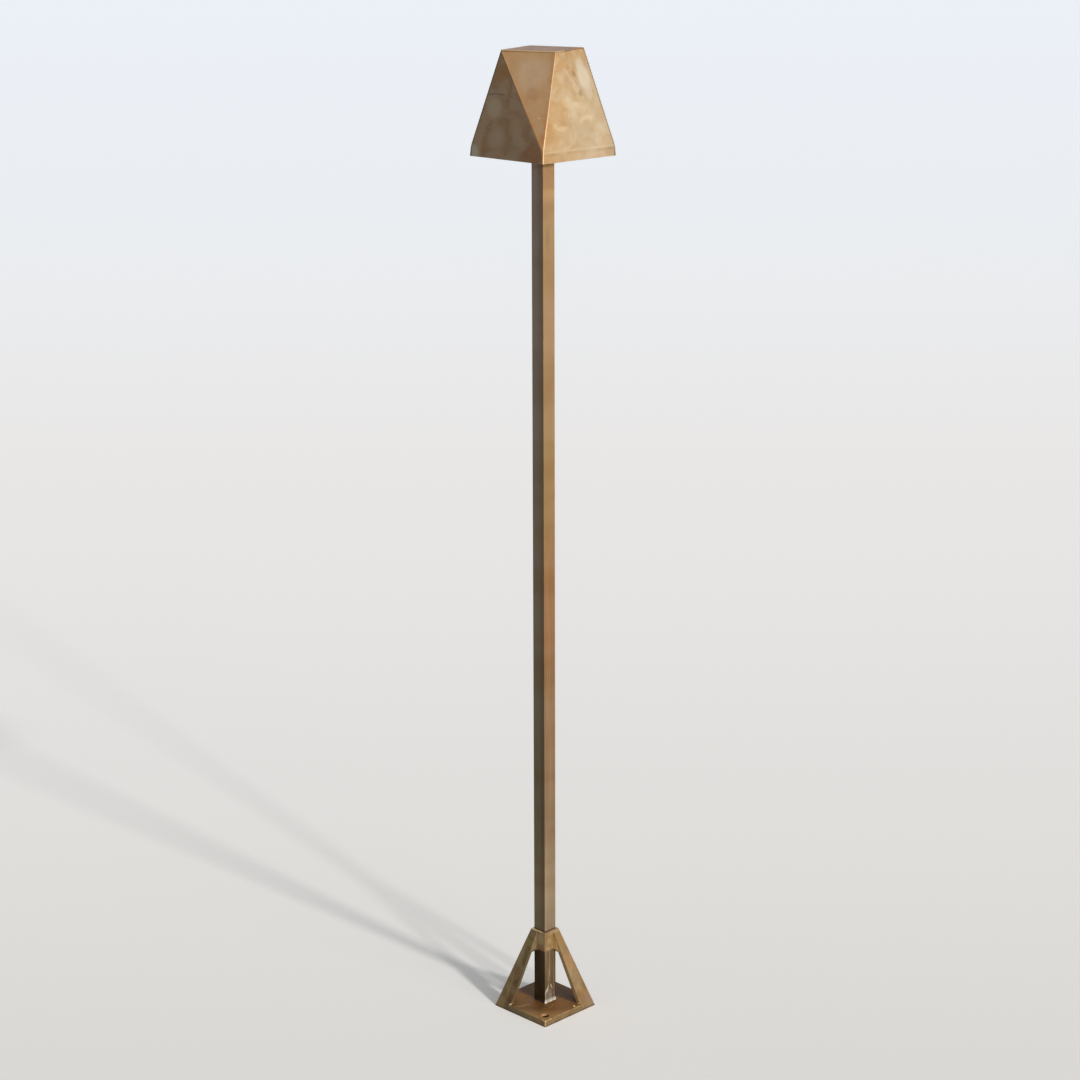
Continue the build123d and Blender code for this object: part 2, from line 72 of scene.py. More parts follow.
class Socket:
    """An output of a node, so that maths on it reads as plain arithmetic."""

    def __init__(self, owner, output):
        self.owner = owner
        self.output = output

    def math(self, operation, *values):
        return self.owner.node("Math", {"operation": operation}, dict(enumerate(values)))

    def beside(self, name):
        """Another output of the node that this one comes from."""
        return Socket(self.owner, self.output.node.outputs[name])

    def __add__(self, other):
        return self.math("ADD", self, other)

    def __radd__(self, other):
        return self.math("ADD", other, self)

    def __sub__(self, other):
        return self.math("SUBTRACT", self, other)

    def __rsub__(self, other):
        return self.math("SUBTRACT", other, self)

    def __mul__(self, other):
        return self.math("MULTIPLY", self, other)

    def __rmul__(self, other):
        return self.math("MULTIPLY", other, self)

    def __truediv__(self, other):
        return self.math("DIVIDE", self, other)

    def __rtruediv__(self, other):
        return self.math("DIVIDE", other, self)

    def __neg__(self):
        return self.math("SUBTRACT", 0.0, self)

    def __abs__(self):
        return self.math("ABSOLUTE", self)

    def larger(self, other):
        return self.math("MAXIMUM", self, other)

    def smaller(self, other):
        return self.math("MINIMUM", self, other)

    def rise(self, low, high):
        """Goes smoothly from 0 where this is low to 1 where it is high."""
        limits = {"Value": self, "From Min": low, "From Max": high}
        return self.owner.node("MapRange", {"interpolation_type": "SMOOTHSTEP"}, limits)

    def fall(self, low, high):
        """Goes smoothly from 1 where this is low to 0 where it is high."""
        return 1 - self.rise(low, high)

    def waver(self, ripple, size):
        """This, moved to and fro by a ripple, so that a border made from it wanders."""
        return self + (ripple - 0.5) * size

    def coated(self, coats):
        """This colour under others, laid on in turn, each as far as its mask goes to 1."""
        colour = self
        for mask, tone in coats:
            colour = self.owner.mix(mask, colour, tone)
        return colour


class Nodes:
    """A tree of shader nodes."""

    def __init__(self, tree):
        self.tree = tree

    def node(self, kind, settings=None, inputs=None, output=0):
        """Adds a node: its settings first, then the values or links of its sockets."""
        node = self.tree.nodes.new("ShaderNode" + kind)
        for setting, value in (settings or {}).items():
            if setting == "stops":
                ramp = node.color_ramp.elements
                ramp[0].position = value[0][0]
                ramp[1].position = value[-1][0]
                for position, colour in value[1:-1]:
                    ramp.new(position).color = colour
                ramp[0].color = value[0][1]
                ramp[len(value) - 1].color = value[-1][1]
            else:
                setattr(node, setting, value)
        for key, value in (inputs or {}).items():
            self.join(value, node.inputs[key])
        return Socket(self, node.outputs[output])

    def join(self, value, target):
        """Links an output to a socket, or gives the socket a plain value."""
        if isinstance(value, Socket):
            self.tree.links.new(value.output, target)
        else:
            target.default_value = value

    def mix(self, mask, first, second, how="MIX"):
        """The first colour where the mask is 0, the second where it is 1."""
        settings = {"data_type": "RGBA", "blend_type": how}
        return self.node("Mix", settings, {0: mask, 6: first, 7: second}, 2)

    def ramp(self, place, stops):
        """A colour that goes through stops of place and colour."""
        return self.node("ValToRGB", {"stops": stops}, {"Fac": place})


class Finish(Nodes):
    """A material that is worked out from where each point lies on its piece."""

    def __init__(self, name, plain=None):
        self.material = bpy.data.materials.new(name)
        self.material.use_nodes = True
        super().__init__(self.material.node_tree)
        self.shader = self.tree.nodes["Principled BSDF"]
        for socket_name, value in (plain or {}).items():
            self.shader.inputs[socket_name].default_value = value
        self.place = self.node("TexCoord", output="Object")
        self.x = self.node("SeparateXYZ", inputs={"Vector": self.place}, output="X")
        self.y = self.x.beside("Y")
        self.z = self.x.beside("Z")

    def clouds(self, size, detail=3.0, stretch=(1.0, 1.0, 1.0), shift=0.0, swirl=0.0):
        """Soft noise about one half, in patches of about this size."""
        placed = {0: self.place, 1: stretch, 2: (shift, shift, shift)}
        place = self.node("VectorMath", {"operation": "MULTIPLY_ADD"}, placed)
        grain = {"Vector": place, "Scale": 1 / size, "Detail": detail, "Distortion": swirl}
        return self.node("TexNoise", {}, grain)

    def distance(self, point):
        """How far each point is from this one."""
        ends = {0: self.place, 1: point}
        return self.node("VectorMath", {"operation": "DISTANCE"}, ends, "Value")

    def line_gap(self, start, end):
        """How far each point is from the line through two points."""
        run = (Vector(end) - Vector(start)).normalized()
        arm = self.node("VectorMath", {"operation": "SUBTRACT"}, {0: self.place, 1: start})
        cross = self.node("VectorMath", {"operation": "CROSS_PRODUCT"}, {0: arm, 1: run})
        return self.node("VectorMath", {"operation": "LENGTH"}, {0: cross}, "Value")

    def blooms(self, ripple, spots, wander=0.8, core=0.4):
        """Coats for soft spots, each with a point, a reach, a strength and a tone."""
        coats = []
        for point, reach, strength, tone in spots:
            mask = self.distance(point).waver(ripple, reach * wander).fall(reach * core, reach)
            coats.append((mask * strength, tone))
        return coats

    def normal(self, axis):
        """One part of the surface's own direction."""
        facing = self.node("TexCoord", output="Normal")
        return self.node("SeparateXYZ", inputs={"Vector": facing}, output=axis)

    def paint(self, colour, roughness, relief, depth):
        """Gives the shader its colour, roughness and relief."""
        bump = self.node("Bump", {}, {"Height": relief, "Distance": depth})
        for name, value in [("Base Color", colour), ("Roughness", roughness), ("Normal", bump)]:
            self.join(value, self.shader.inputs[name])


def dress(node_names, finish):
    """Gives CAD pieces their finish."""
    for node_name in node_names:
        for material_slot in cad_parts[node_name].material_slots:
            material_slot.material = finish.material


aged_metal = {"Metallic": 0.28, "Specular IOR Level": 0.25, "Roughness": 0.45}
plate_half = 0.0373
plate_top = 0.0072
bolt_reach = 0.040
bolt_bore = 0.0026
bolt_sink = 0.0042

plate_finish = Finish("plate_finish", {**aged_metal, "Specular IOR Level": 0.15})
plate_along = (plate_finish.x + plate_finish.y) / sqrt(2)
plate_across = (plate_finish.x - plate_finish.y) / sqrt(2)
plate_reach = abs(plate_along).larger(abs(plate_across))
plate_inset = plate_half - plate_reach
plate_mottle = plate_finish.clouds(0.014, 4.0, swirl=0.6)
plate_fine = plate_finish.clouds(0.0016, 2.0, shift=3.0)
plate_stain = plate_finish.clouds(0.03, 2.0, shift=7.0).rise(0.5, 0.66)
plate_near = (-plate_finish.y).rise(0.022, 0.040)
# Darker round the stem's foot.
plate_darker_round_stem = plate_reach.fall(0.008, 0.018)
plate_gold = plate_finish.distance((-0.022, -0.008, plate_top)).fall(0.004, 0.016)

# Painted shadow of the stem and legs on the plate's back, behind one slanting line left of the
# stem and another right of it.
plate_shadow_left = plate_finish.y + plate_finish.x * 0.914 + 0.0071
plate_shadow_right = plate_finish.y + plate_finish.x * 0.856 - 0.0164
plate_turn = plate_finish.x.rise(-0.011, 0.011)
plate_painted_shadow = plate_shadow_left * (1 - plate_turn) + plate_shadow_right * plate_turn
plate_painted_shadow = plate_painted_shadow.waver(plate_mottle, 0.006).rise(-0.0015, 0.003)


def plate_scratch(start, end, width):
    """A pale mark along a straight line on the plate's top."""
    run = Vector(end) - Vector(start)
    unit = run.normalized()
    from_x, from_y = plate_finish.x - start[0], plate_finish.y - start[1]
    along = from_x * unit.x + from_y * unit.y
    beside = abs(from_y * unit.x - from_x * unit.y)
    mark = along.rise(0.0, 0.003) * along.fall(run.length - 0.004, run.length)
    return mark * beside.waver(plate_fine, width).fall(width * 0.3, width)


plate_scratches = [
    ((-0.0336, -0.0192), (-0.0140, -0.0128), 0.0010, 0.65),
    ((-0.0300, -0.0215), (-0.0190, -0.0170), 0.0008, 0.35),
    ((0.0040, -0.0240), (0.0100, -0.0110), 0.0008, 0.45),
    ((-0.0040, -0.0260), (0.0030, -0.0235), 0.0007, 0.35),
    ((0.0190, -0.0260), (0.0270, -0.0205), 0.0007, 0.35),
]
plate_side = plate_inset.fall(0.0001, 0.0005)
plate_side_left = (-plate_finish.x).rise(-0.004, 0.004)
plate_side_colour = plate_finish.mix(plate_side_left, tint(132, 105, 68), tint(122, 108, 78))
plate_side_patch = plate_mottle.rise(0.42, 0.6) * 0.5
plate_side_colour = plate_side_colour.coated([(plate_side_patch, tint(136, 124, 90))])
plate_front = plate_finish.distance((0.003, -0.0505, plate_top)).fall(0.004, 0.013)
plate_flush = plate_side * plate_side_left * plate_front
plate_rub = plate_inset.fall(0.0002, 0.0012) * plate_finish.z.rise(0.0050, 0.0066)
plate_rub = plate_rub * plate_finish.clouds(0.006, 3.0, shift=1.0).rise(0.36, 0.62)
plate_rub = plate_rub * (0.3 + 0.7 * plate_front)
# A painted highlight down the plate's front corner.
plate_corner_painted_highlight = abs(plate_finish.x).fall(0.0005, 0.0013) * (-plate_finish.y).rise(0.05, 0.052)
# Painted contact shadow along the bottom of the plate's sides, where they meet the floor.
plate_painted_contact_shadow = plate_finish.z.waver(plate_mottle, 0.002).fall(0.0004, 0.0020)
# The bolt hole: painted shade in its countersink, darker painted shade in its bore, and a painted
# highlight on the countersink's far lip.
bolt_along = bolt_reach - abs(plate_finish.y)
bolt_gap = plate_finish.x * plate_finish.x + bolt_along * bolt_along
bolt_lit = (bolt_along * 0.75 - plate_finish.x * 0.65).waver(plate_mottle, 0.002)
bolt_lip_painted_highlight = bolt_gap.fall((bolt_sink + 0.0001) ** 2, (bolt_sink + 0.0008) ** 2)
bolt_lip_painted_highlight = bolt_lip_painted_highlight * bolt_lit.rise(0.0006, 0.0020)
bolt_sink_painted_shade = bolt_gap.fall((bolt_sink - 0.0002) ** 2, bolt_sink ** 2)
bolt_bore_painted_shade = bolt_gap.fall(bolt_bore ** 2, (bolt_bore + 0.0002) ** 2)

plate_colour = plate_finish.mix(
    plate_mottle.rise(0.35, 0.65), tint(123, 81, 36), tint(138, 94, 44)
).coated([
    (plate_stain * 0.5, tint(112, 80, 44)),
    (plate_near * 0.9, tint(174, 130, 80)),
    (plate_darker_round_stem * 0.35, tint(96, 66, 38)),
    (plate_gold * 0.5, tint(128, 92, 38)),
    (plate_painted_shadow * 0.82, tint(80, 56, 31)),
    *[
        (plate_scratch(start, end, width) * strength, tint(204, 160, 112))
        for start, end, width, strength in plate_scratches
    ],
    (plate_side * 0.85, plate_side_colour),
    (plate_flush * 0.75, tint(132, 88, 56)),
    (plate_fine.rise(0.6, 0.72) * 0.35, tint(74, 50, 28)),
    (plate_rub * 0.9, tint(214, 176, 118)),
    (plate_side * plate_corner_painted_highlight * 0.6, tint(214, 178, 136)),
    (plate_side * plate_painted_contact_shadow * 0.75, tint(52, 40, 26)),
    (bolt_sink_painted_shade, tint(78, 48, 28)),
    (bolt_lip_painted_highlight * 0.7, tint(192, 148, 108)),
    (bolt_bore_painted_shade, tint(34, 18, 10)),
])
plate_finish.paint(
    plate_colour,
    0.38 + 0.22 * plate_mottle + 0.1 * plate_fine - 0.1 * plate_rub,
    plate_mottle * 0.8 + plate_fine * 0.2,
    0.00025,
)
dress(["base_plate"], plate_finish)


# Yoke: a short square collar round the stem and two angle-section legs, cast in brass and brazed
# together. Olive on the left and golden on the right, with a browner band down the left leg.
collar_bottom = 0.0674
collar_top = 0.0877
collar_half = 0.0103
leg_head_width = 0.0086
leg_foot_width = 0.0196
leg_thick = 0.0052
stem_half = 0.0079375

yoke_finish = Finish("yoke_finish", aged_metal)
yoke_mottle = yoke_finish.clouds(0.009, 4.0, stretch=(1.0, 1.0, 0.5), swirl=0.8)
yoke_patch = yoke_finish.clouds(0.016, 3.0, shift=5.0, swirl=0.5)
yoke_fine = yoke_finish.clouds(0.0013, 2.0, shift=2.0)
yoke_left = (-yoke_finish.x).rise(-0.0004, 0.0004)
yoke_right = 1 - yoke_left
yoke_height = yoke_finish.z / collar_top
yoke_out = (abs(yoke_finish.x) + abs(yoke_finish.y)) / sqrt(2)
yoke_end = leg_foot_width - plate_half
yoke_end_rise = plate_half - collar_half - leg_foot_width + leg_head_width
yoke_beside = (abs(yoke_finish.y) - abs(yoke_finish.x)) / sqrt(2)
yoke_gap = yoke_end + yoke_end_rise * yoke_height - yoke_beside
yoke_on_collar = (yoke_out - collar_half).fall(0.0001, 0.0006)
yoke_on_leg = 1 - yoke_on_collar
yoke_seam = yoke_gap.waver(yoke_patch, 0.006).fall(0.0052, 0.0088) * yoke_on_leg
yoke_seam_tone = yoke_finish.mix(yoke_height.rise(0.4, 0.6), tint(96, 68, 36), tint(110, 95, 58))
yoke_outer = yoke_gap.rise(0.011, 0.015) * yoke_on_leg
yoke_gold = yoke_finish.ramp(yoke_height, [
    (0.00, tint(148, 117, 78)),
    (0.20, tint(153, 120, 79)),
    (0.42, tint(156, 130, 94)),
    (0.62, tint(158, 126, 86)),
    (0.77, tint(150, 119, 76)),
    (1.00, tint(150, 120, 78)),
]).coated([
    (yoke_on_collar, tint(164, 132, 86)),
    (yoke_outer * 0.35, tint(140, 110, 74)),
])
yoke_umber = yoke_finish.ramp(yoke_height, [
    (0.00, tint(138, 115, 76)),
    (0.35, tint(130, 110, 72)),
    (0.52, tint(127, 106, 70)),
    (0.74, tint(142, 122, 88)),
    (0.86, tint(132, 116, 68)),
    (1.00, tint(122, 106, 78)),
]).coated([
    (yoke_on_collar, tint(167, 142, 100)),
    (yoke_seam * 0.85, yoke_seam_tone),
])
yoke_spots = [
    ((0.0250, -0.0043, 0.0530), 0.011, 0.55, tint(170, 130, 88)),
    ((0.0147, -0.0048, 0.0764), 0.007, 0.50, tint(160, 120, 66)),
    ((0.0474, -0.0025, 0.0066), 0.012, 0.50, tint(140, 116, 92)),
    ((0.0084, -0.0061, 0.0793), 0.006, 0.60, tint(144, 112, 52)),
    ((0.0042, -0.0103, 0.0775), 0.005, 0.55, tint(178, 150, 106)),
    ((0.0036, -0.0109, 0.0690), 0.0040, 0.60, tint(190, 160, 112)),
    ((-0.0041, -0.0104, 0.0690), 0.007, 0.75, tint(140, 98, 62)),
    ((-0.0060, -0.0086, 0.0790), 0.006, 0.45, tint(170, 146, 110)),
    ((-0.0296, -0.0050, 0.0417), 0.008, 0.60, tint(112, 80, 46)),
    ((-0.0164, -0.0044, 0.0742), 0.007, 0.60, tint(130, 118, 66)),
]
# The legs' faces that look towards the stem: painted shade on the left leg, painted light on the
# right leg.
yoke_flank_light_and_shade = (-yoke_finish.x * yoke_finish.normal("X")).rise(0.002, 0.006) * yoke_on_leg
# Painted shade along the rounded front edges of the legs' ends, darker on the left leg.
yoke_edge_painted_shade = abs(yoke_finish.normal("X")).fall(0.3, 0.6)
yoke_edge_painted_shade = yoke_edge_painted_shade * (-yoke_finish.normal("Y")).rise(0.3, 0.6)
yoke_edge_painted_shade = yoke_edge_painted_shade * yoke_gap.fall(0.0012, 0.002) * yoke_on_leg
yoke_edge_painted_shade_tone = yoke_finish.mix(yoke_left, tint(112, 86, 54), tint(72, 54, 32))
yoke_below = collar_top - yoke_finish.z
# The left of the collar's top edge: rubbed bright, and a painted highlight.
yoke_rim_rub_and_highlight = yoke_below.fall(0.0002, 0.0006) * (-yoke_finish.x).rise(0.002, 0.004)
yoke_rim_rub_and_highlight = yoke_rim_rub_and_highlight * yoke_finish.clouds(0.005, 2.0, shift=9.0).rise(0.25, 0.5)
# Painted shade in a band just under the collar's top edge, on the left.
yoke_painted_shade_under_rim = yoke_below.fall(0.0014, 0.0022) * yoke_below.rise(0.0006, 0.0011)
yoke_pale_edge = yoke_below.fall(0.0015, 0.0040) * yoke_finish.x.rise(0.003, 0.006)
# Painted contact shadow at the bottom of the legs.
yoke_painted_contact_shadow = yoke_finish.z.waver(yoke_mottle, 0.002).fall(0.0004, 0.0020)

yoke_colour = yoke_finish.mix(yoke_left, yoke_gold, yoke_umber)
yoke_colour = yoke_finish.mix(
    yoke_mottle.rise(0.38, 0.62), yoke_colour, tint(224, 219, 210), "MULTIPLY"
).coated([
    ((1 - yoke_patch).rise(0.46, 0.6) * 0.25, tint(166, 142, 106)),
    *yoke_finish.blooms(yoke_mottle, yoke_spots, 1.0, 0.35),
    (yoke_flank_light_and_shade * yoke_left * 0.85, tint(116, 100, 72)),
    (yoke_flank_light_and_shade * yoke_right * 0.85, tint(186, 160, 116)),
    (yoke_edge_painted_shade * 0.85, yoke_edge_painted_shade_tone),
    (yoke_rim_rub_and_highlight * 0.8, tint(222, 198, 152)),
    (yoke_painted_shade_under_rim * yoke_left * 0.6, tint(84, 64, 36)),
    (yoke_pale_edge * yoke_right * 0.5, tint(178, 150, 116)),
    (yoke_fine.rise(0.62, 0.73) * 0.3, tint(80, 58, 34)),
    (yoke_painted_contact_shadow * 0.7, tint(56, 42, 26)),
])
yoke_finish.paint(
    yoke_colour,
    0.38 + 0.2 * yoke_mottle + 0.1 * yoke_fine,
    yoke_mottle * 0.75 + yoke_fine * 0.25,
    0.0003,
)
dress(["yoke_collar", "yoke_leg_left", "yoke_leg_right"], yoke_finish)


# Yoke brazing: brass filler, run in where the legs meet the collar and the plate. It rounds out
# the corners under the collar, runs inside each leg's foot, and has left beads there.
def object_from(shape, name, finish):
    """Turns a bmesh into an object."""
    mesh = bpy.data.meshes.new(name)
    shape.to_mesh(mesh)
    shape.free()
    mesh.materials.append(finish.material)
    made = bpy.data.objects.new(name, mesh)
    scene.collection.objects.link(made)
    return made


def piece_from(shape, name, finish, body="root"):
    """Turns a bmesh into a smooth piece that rides on a body."""
    bmesh.ops.recalc_face_normals(shape, faces=shape.faces)
    for face in shape.faces:
        face.smooth = True
    piece = object_from(shape, name, finish)
    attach(piece, body)
    return piece


def add_rings(shape, rings, closed=False, caps=False):
    """Joins rings of points, one above the other, into a skin."""
    rows = [[shape.verts.new(point) for point in ring] for ring in rings]
    count = len(rows[0])
    pairs = list(zip(rows, rows[1:]))
    if closed:
        pairs.append((rows[-1], rows[0]))
    for lower, upper in pairs:
        for step in range(count):
            after = (step + 1) % count
            shape.faces.new((lower[step], lower[after], upper[after], upper[step]))
    if caps:
        shape.faces.new(rows[0])
        shape.faces.new(rows[-1])
    return rows


def yoke_place(along, out, height, side, front):
    """A point along and out from one of the yoke's four slanted faces."""
    return Vector((side * (out - along) / sqrt(2), front * (out + along) / sqrt(2), height))


def leg_section(height):
    """How far out a leg's face is at a height, and where along that face the leg ends."""
    part = height / collar_top
    out = plate_half - (plate_half - collar_half) * part
    return out, leg_foot_width - (leg_foot_width - leg_head_width) * part - out


web_root = 0.0012
web_wide = 0.0027
web_spread = 0.0035
web_sunk = 0.0004
web_levels = [
    # height, how much of its width the web has, and how far it spreads under the collar
    (0.0630, 0.10, 0.0),
    (0.0640, 0.40, 0.2),
    (0.0652, 0.75, 0.6),
    (0.0662, 0.95, 0.9),
    (0.0673, 1.00, 1.1),
    (0.0675, 1.00, 0.0),
    (0.0700, 0.96, 0.0),
    (0.0735, 0.84, 0.0),
    (0.0770, 0.66, 0.0),
    (0.0805, 0.45, 0.0),
    (0.0835, 0.25, 0.0),
    (0.0860, 0.05, 0.0),
]
seam_size = 0.0009
seam_steps = 14
seam_end_steps = 5
seam_sunk = 0.0003
seam_section = [
    # how far in the bead starts, and how far out and up it stands, as parts of its size
    (0.0004, 0.0, 0.0),
    (0.0, 1.0, 0.0),
    (0.0, 0.42, 0.42),
    (0.0002, 0.0, 1.0),
    (0.0006, 0.0, 0.6),
]

braze_shape = bmesh.new()
for side, front in [(-1, -1), (-1, 1), (1, -1), (1, 1)]:
    web_rings = []
    for height, fill, spread in web_levels:
        out, end = leg_section(height)
        inner = stem_half + 0.0001 if height < collar_bottom else collar_half - web_sunk
        rough = 1 + 0.25 * noise.noise(Vector((side * 3, front * 5, height * 300)))
        toe = end + web_wide * fill * rough
        outline = [
            (end - web_root, inner),
            (end - web_root, out - 0.0005),
            (end, out - web_sunk),
            (end + (toe - end) * 0.30, out * 0.55 + collar_half * 0.45),
            (end + (toe - end) * 0.62, out * 0.22 + collar_half * 0.78),
            (toe, collar_half + 0.00005),
            (toe + web_spread * spread - 0.0003, inner),
        ]
        web_rings.append([yoke_place(along, away, height, side, front) for along, away in outline])
    add_rings(braze_shape, web_rings, caps=True)

foot_out, foot_end = leg_section(plate_top)
foot_inside = foot_out - leg_thick
for side in (-1, 1):
    seam_path = []
    for front in (-1, 1):
        # Each step of the path: a place along and out, and the way that its bead faces.
        half_path = []
        for step in range(seam_end_steps):
            away = foot_out - seam_sunk - (leg_thick - seam_sunk) * step / seam_end_steps
            half_path.append((foot_end, away, 1.0, 0.0))
        half_path.append((foot_end, foot_inside, 0.7, -0.7))
        for step in range(1, seam_steps + 1):
            along = foot_end - (foot_end + foot_inside) * step / seam_steps
            half_path.append((along, foot_inside, 0.0, -1.0))
        half_path = [
            (
                yoke_place(along, away, plate_top, side, front),
                yoke_place(facing_along, facing_out, 0, side, front),
            )
            for along, away, facing_along, facing_out in half_path
        ]
        seam_path += half_path if front == -1 else half_path[::-1][1:]
    seam_rings = []
    for point, away in seam_path:
        size = seam_size * (1 + 0.4 * noise.noise(point * 500))
        seam_rings.append([
            point + away * (size * wide - sunk) + Vector((0, 0, size * high))
            for sunk, wide, high in seam_section
        ])
    add_rings(braze_shape, seam_rings, caps=True)

for centre, size in [
    (Vector((-0.0366, -0.0140, plate_top + 0.0003)), 0.0013),
    (Vector((0.0303, -0.0183, plate_top + 0.0002)), 0.0012),
    (Vector((0.0364, 0.0130, plate_top + 0.0002)), 0.0012),
]:
    bead = bmesh.ops.create_icosphere(braze_shape, subdivisions=3, radius=size)
    for corner in bead["verts"]:
        knob = 1 + 0.3 * noise.noise(corner.co * 700 + centre * 90)
        corner.co = Vector((corner.co.x * 1.15, corner.co.y, corner.co.z * 0.6)) * knob + centre

braze_finish = Finish("braze_finish", aged_metal)
braze_mottle = braze_finish.clouds(0.003, 4.0, swirl=0.8)
braze_patch = braze_finish.clouds(0.009, 2.0, shift=4.0)
braze_low = braze_finish.z.fall(0.009, 0.0105)
braze_left = (-braze_finish.x).rise(-0.0004, 0.0004)
# The webs' facets that look towards the stem: pale khaki on the left, and on the right gold as
# painted light, where they face away from the lamps.
braze_facet_painted_light = (-braze_finish.x * braze_finish.normal("X")).rise(0.001, 0.005)
braze_facet_light_tone = braze_finish.mix(braze_left, tint(214, 172, 106), tint(148, 132, 98))
braze_bead = braze_low * (-braze_finish.y).rise(0.011, 0.013)
braze_speckle = 0.35 + 0.65 * braze_mottle.rise(0.46, 0.6)
braze_colour = braze_finish.mix(
    braze_mottle.rise(0.36, 0.64), tint(118, 90, 58), tint(134, 106, 72)
).coated([
    (braze_facet_painted_light * 0.85, braze_facet_light_tone),
    (braze_patch.rise(0.5, 0.65) * 0.3, tint(112, 88, 54)),
    (braze_low * (1 - braze_bead) * 0.5, tint(84, 62, 36)),
    (braze_bead * braze_speckle, tint(232, 204, 160)),
])
braze_finish.paint(braze_colour, 0.36 + 0.24 * braze_mottle, braze_mottle, 0.0003)
braze = piece_from(braze_shape, "yoke_braze", braze_finish)


# Stem: one length of drawn square brass tube. Its faces are greyer and darker on the left, partly
# weathered and partly painted shade, and tan to orange on the right, in long streaks that run down
# it.
stem_corner = stem_half * sqrt(2)
stem_finish = Finish("stem_finish", aged_metal)
# Faces that look left: greyer and darker, partly weathering and partly painted shade.
stem_left = (-stem_finish.normal("X")).rise(-0.2, 0.4)
stem_span = (abs(stem_finish.x) / stem_corner).smaller(1.0)
stem_streak = stem_finish.clouds(0.0035, 3.0, stretch=(1.0, 1.0, 0.02))
stem_drift = stem_finish.clouds(0.05, 3.0, stretch=(0.4, 0.4, 1.0), shift=4.0)
stem_blotch = stem_finish.clouds(0.012, 3.0, stretch=(1.0, 1.0, 0.25), shift=6.0)
stem_fine = stem_finish.clouds(0.0012, 2.0, stretch=(1.0, 1.0, 0.2), shift=2.0)
stem_stripe = abs(stem_span - 0.42).fall(0.02, 0.12) * stem_finish.z.fall(0.05, 0.35)
# Painted shade on the left faces near the stem's front corner.
stem_front_painted_shade = stem_span.fall(0.0, 0.75) * stem_finish.z.rise(0.07, 0.1)
stem_above = stem_finish.z - collar_top
# Painted shade in the gap just above the collar, where the stem goes in.
stem_joint_painted_shade = stem_above.rise(-0.0002, 0.0) * stem_above.fall(0.0008, 0.0024)
# Painted shade down the stem's side corners inside the yoke.
stem_foot_edge_painted_shade = stem_span.rise(0.86, 0.97) * stem_finish.z.fall(0.05, 0.066)
# Right faces: lighter near the top, painted light where the lamp shade's shadow falls on the stem.
stem_tan = stem_finish.ramp(stem_finish.z, [
    (0.000, tint(118, 98, 70)),
    (0.062, tint(112, 92, 64)),
    (0.076, tint(128, 110, 84)),
    (0.125, tint(159, 139, 113)),
    (0.206, tint(144, 117, 88)),
    (0.342, tint(151, 117, 81)),
    (0.430, tint(158, 115, 76)),
    (0.560, tint(163, 130, 84)),
    (0.760, tint(176, 143, 105)),
    (0.845, tint(177, 142, 99)),
    (0.868, tint(208, 165, 117)),
    (0.893, tint(232, 186, 134)),
]).coated([
    (stem_streak.rise(0.55, 0.68) * 0.35, tint(178, 152, 122)),
    (stem_stripe * 0.45, tint(172, 146, 114)),
])
# Left faces: lighter near the top, painted light where the lamp shade's shadow falls, and very
# dark below the collar, painted shade inside the yoke.
stem_dark = stem_finish.ramp(stem_finish.z, [
    (0.000, tint(66, 50, 26)),
    (0.062, tint(68, 52, 30)),
    (0.078, tint(110, 98, 72)),
    (0.125, tint(128, 113, 83)),
    (0.206, tint(108, 95, 69)),
    (0.526, tint(128, 116, 97)),
    (0.780, tint(135, 123, 112)),
    (0.850, tint(140, 126, 118)),
    (0.893, tint(164, 146, 136)),
])
stem_dark = stem_finish.mix(stem_front_painted_shade * 0.8, stem_dark, tint(214, 192, 158), "MULTIPLY")
stem_dark = stem_dark.coated([(stem_streak.rise(0.52, 0.66) * 0.25, tint(132, 118, 98))])
stem_colour = stem_finish.mix(stem_left, stem_tan, stem_dark)
stem_colour = stem_finish.mix(
    stem_drift.rise(0.4, 0.62), stem_colour, tint(240, 232, 220), "MULTIPLY"
).coated([
    (stem_blotch.rise(0.58, 0.7) * 0.25, tint(112, 90, 60)),
    (stem_joint_painted_shade * 0.8, tint(84, 56, 32)),
    (stem_foot_edge_painted_shade * 0.75, tint(34, 22, 12)),
])
stem_finish.paint(
    stem_colour,
    0.34 + 0.2 * stem_streak + 0.12 * stem_blotch,
    stem_streak * 0.6 + stem_fine * 0.4,
    0.00012,
)
dress(["stem_tube"], stem_finish)


# Solder at the stem's foot: silver solder, run in round all four sides and smeared up the right
# front face, dull grey with bright ridges where it has been rubbed.
def square_outline(half, corner, side_steps, corner_steps, turn=0.0):
    """Points and outward directions round a level square with rounded corners."""
    outline = []
    reach = half - corner
    for quarter in range(4):
        base = radians(90 * quarter) + turn
        out = Vector((cos(base), sin(base), 0))
        along = Vector((-sin(base), cos(base), 0))
        for step in range(side_steps):
            place = -reach + 2 * reach * step / side_steps
            outline.append((out * half + along * place, out.copy()))
        centre = out * reach + along * reach
        for step in range(corner_steps):
            angle = base + pi / 2 * step / corner_steps
            direction = Vector((cos(angle), sin(angle), 0))
            outline.append((centre + direction * corner, direction))
    return outline


solder_width = 0.0006
solder_low = 0.0018
solder_skin = 0.0004
solder_toe_height = 0.0026
solder_sunk = 0.0001
solder_steps = 30
smear_facing = 0.6
smeared_face = Vector((sqrt(0.5), -sqrt(0.5), 0))
smeared_along = Vector((sqrt(0.5), sqrt(0.5), 0))
smear_heights = [
    # place across the right front face, from its front edge at -1 to its right one, and height
    (-1.00, 0.0120), (-0.80, 0.0140), (-0.55, 0.0165), (-0.36, 0.0205), (-0.29, 0.0300),
    (-0.23, 0.0395), (-0.17, 0.0310), (-0.10, 0.0215), (0.05, 0.0200), (0.18, 0.0188),
    (0.30, 0.0160), (0.42, 0.0130), (0.60, 0.0075), (0.80, 0.0036), (1.00, 0.0022),
]


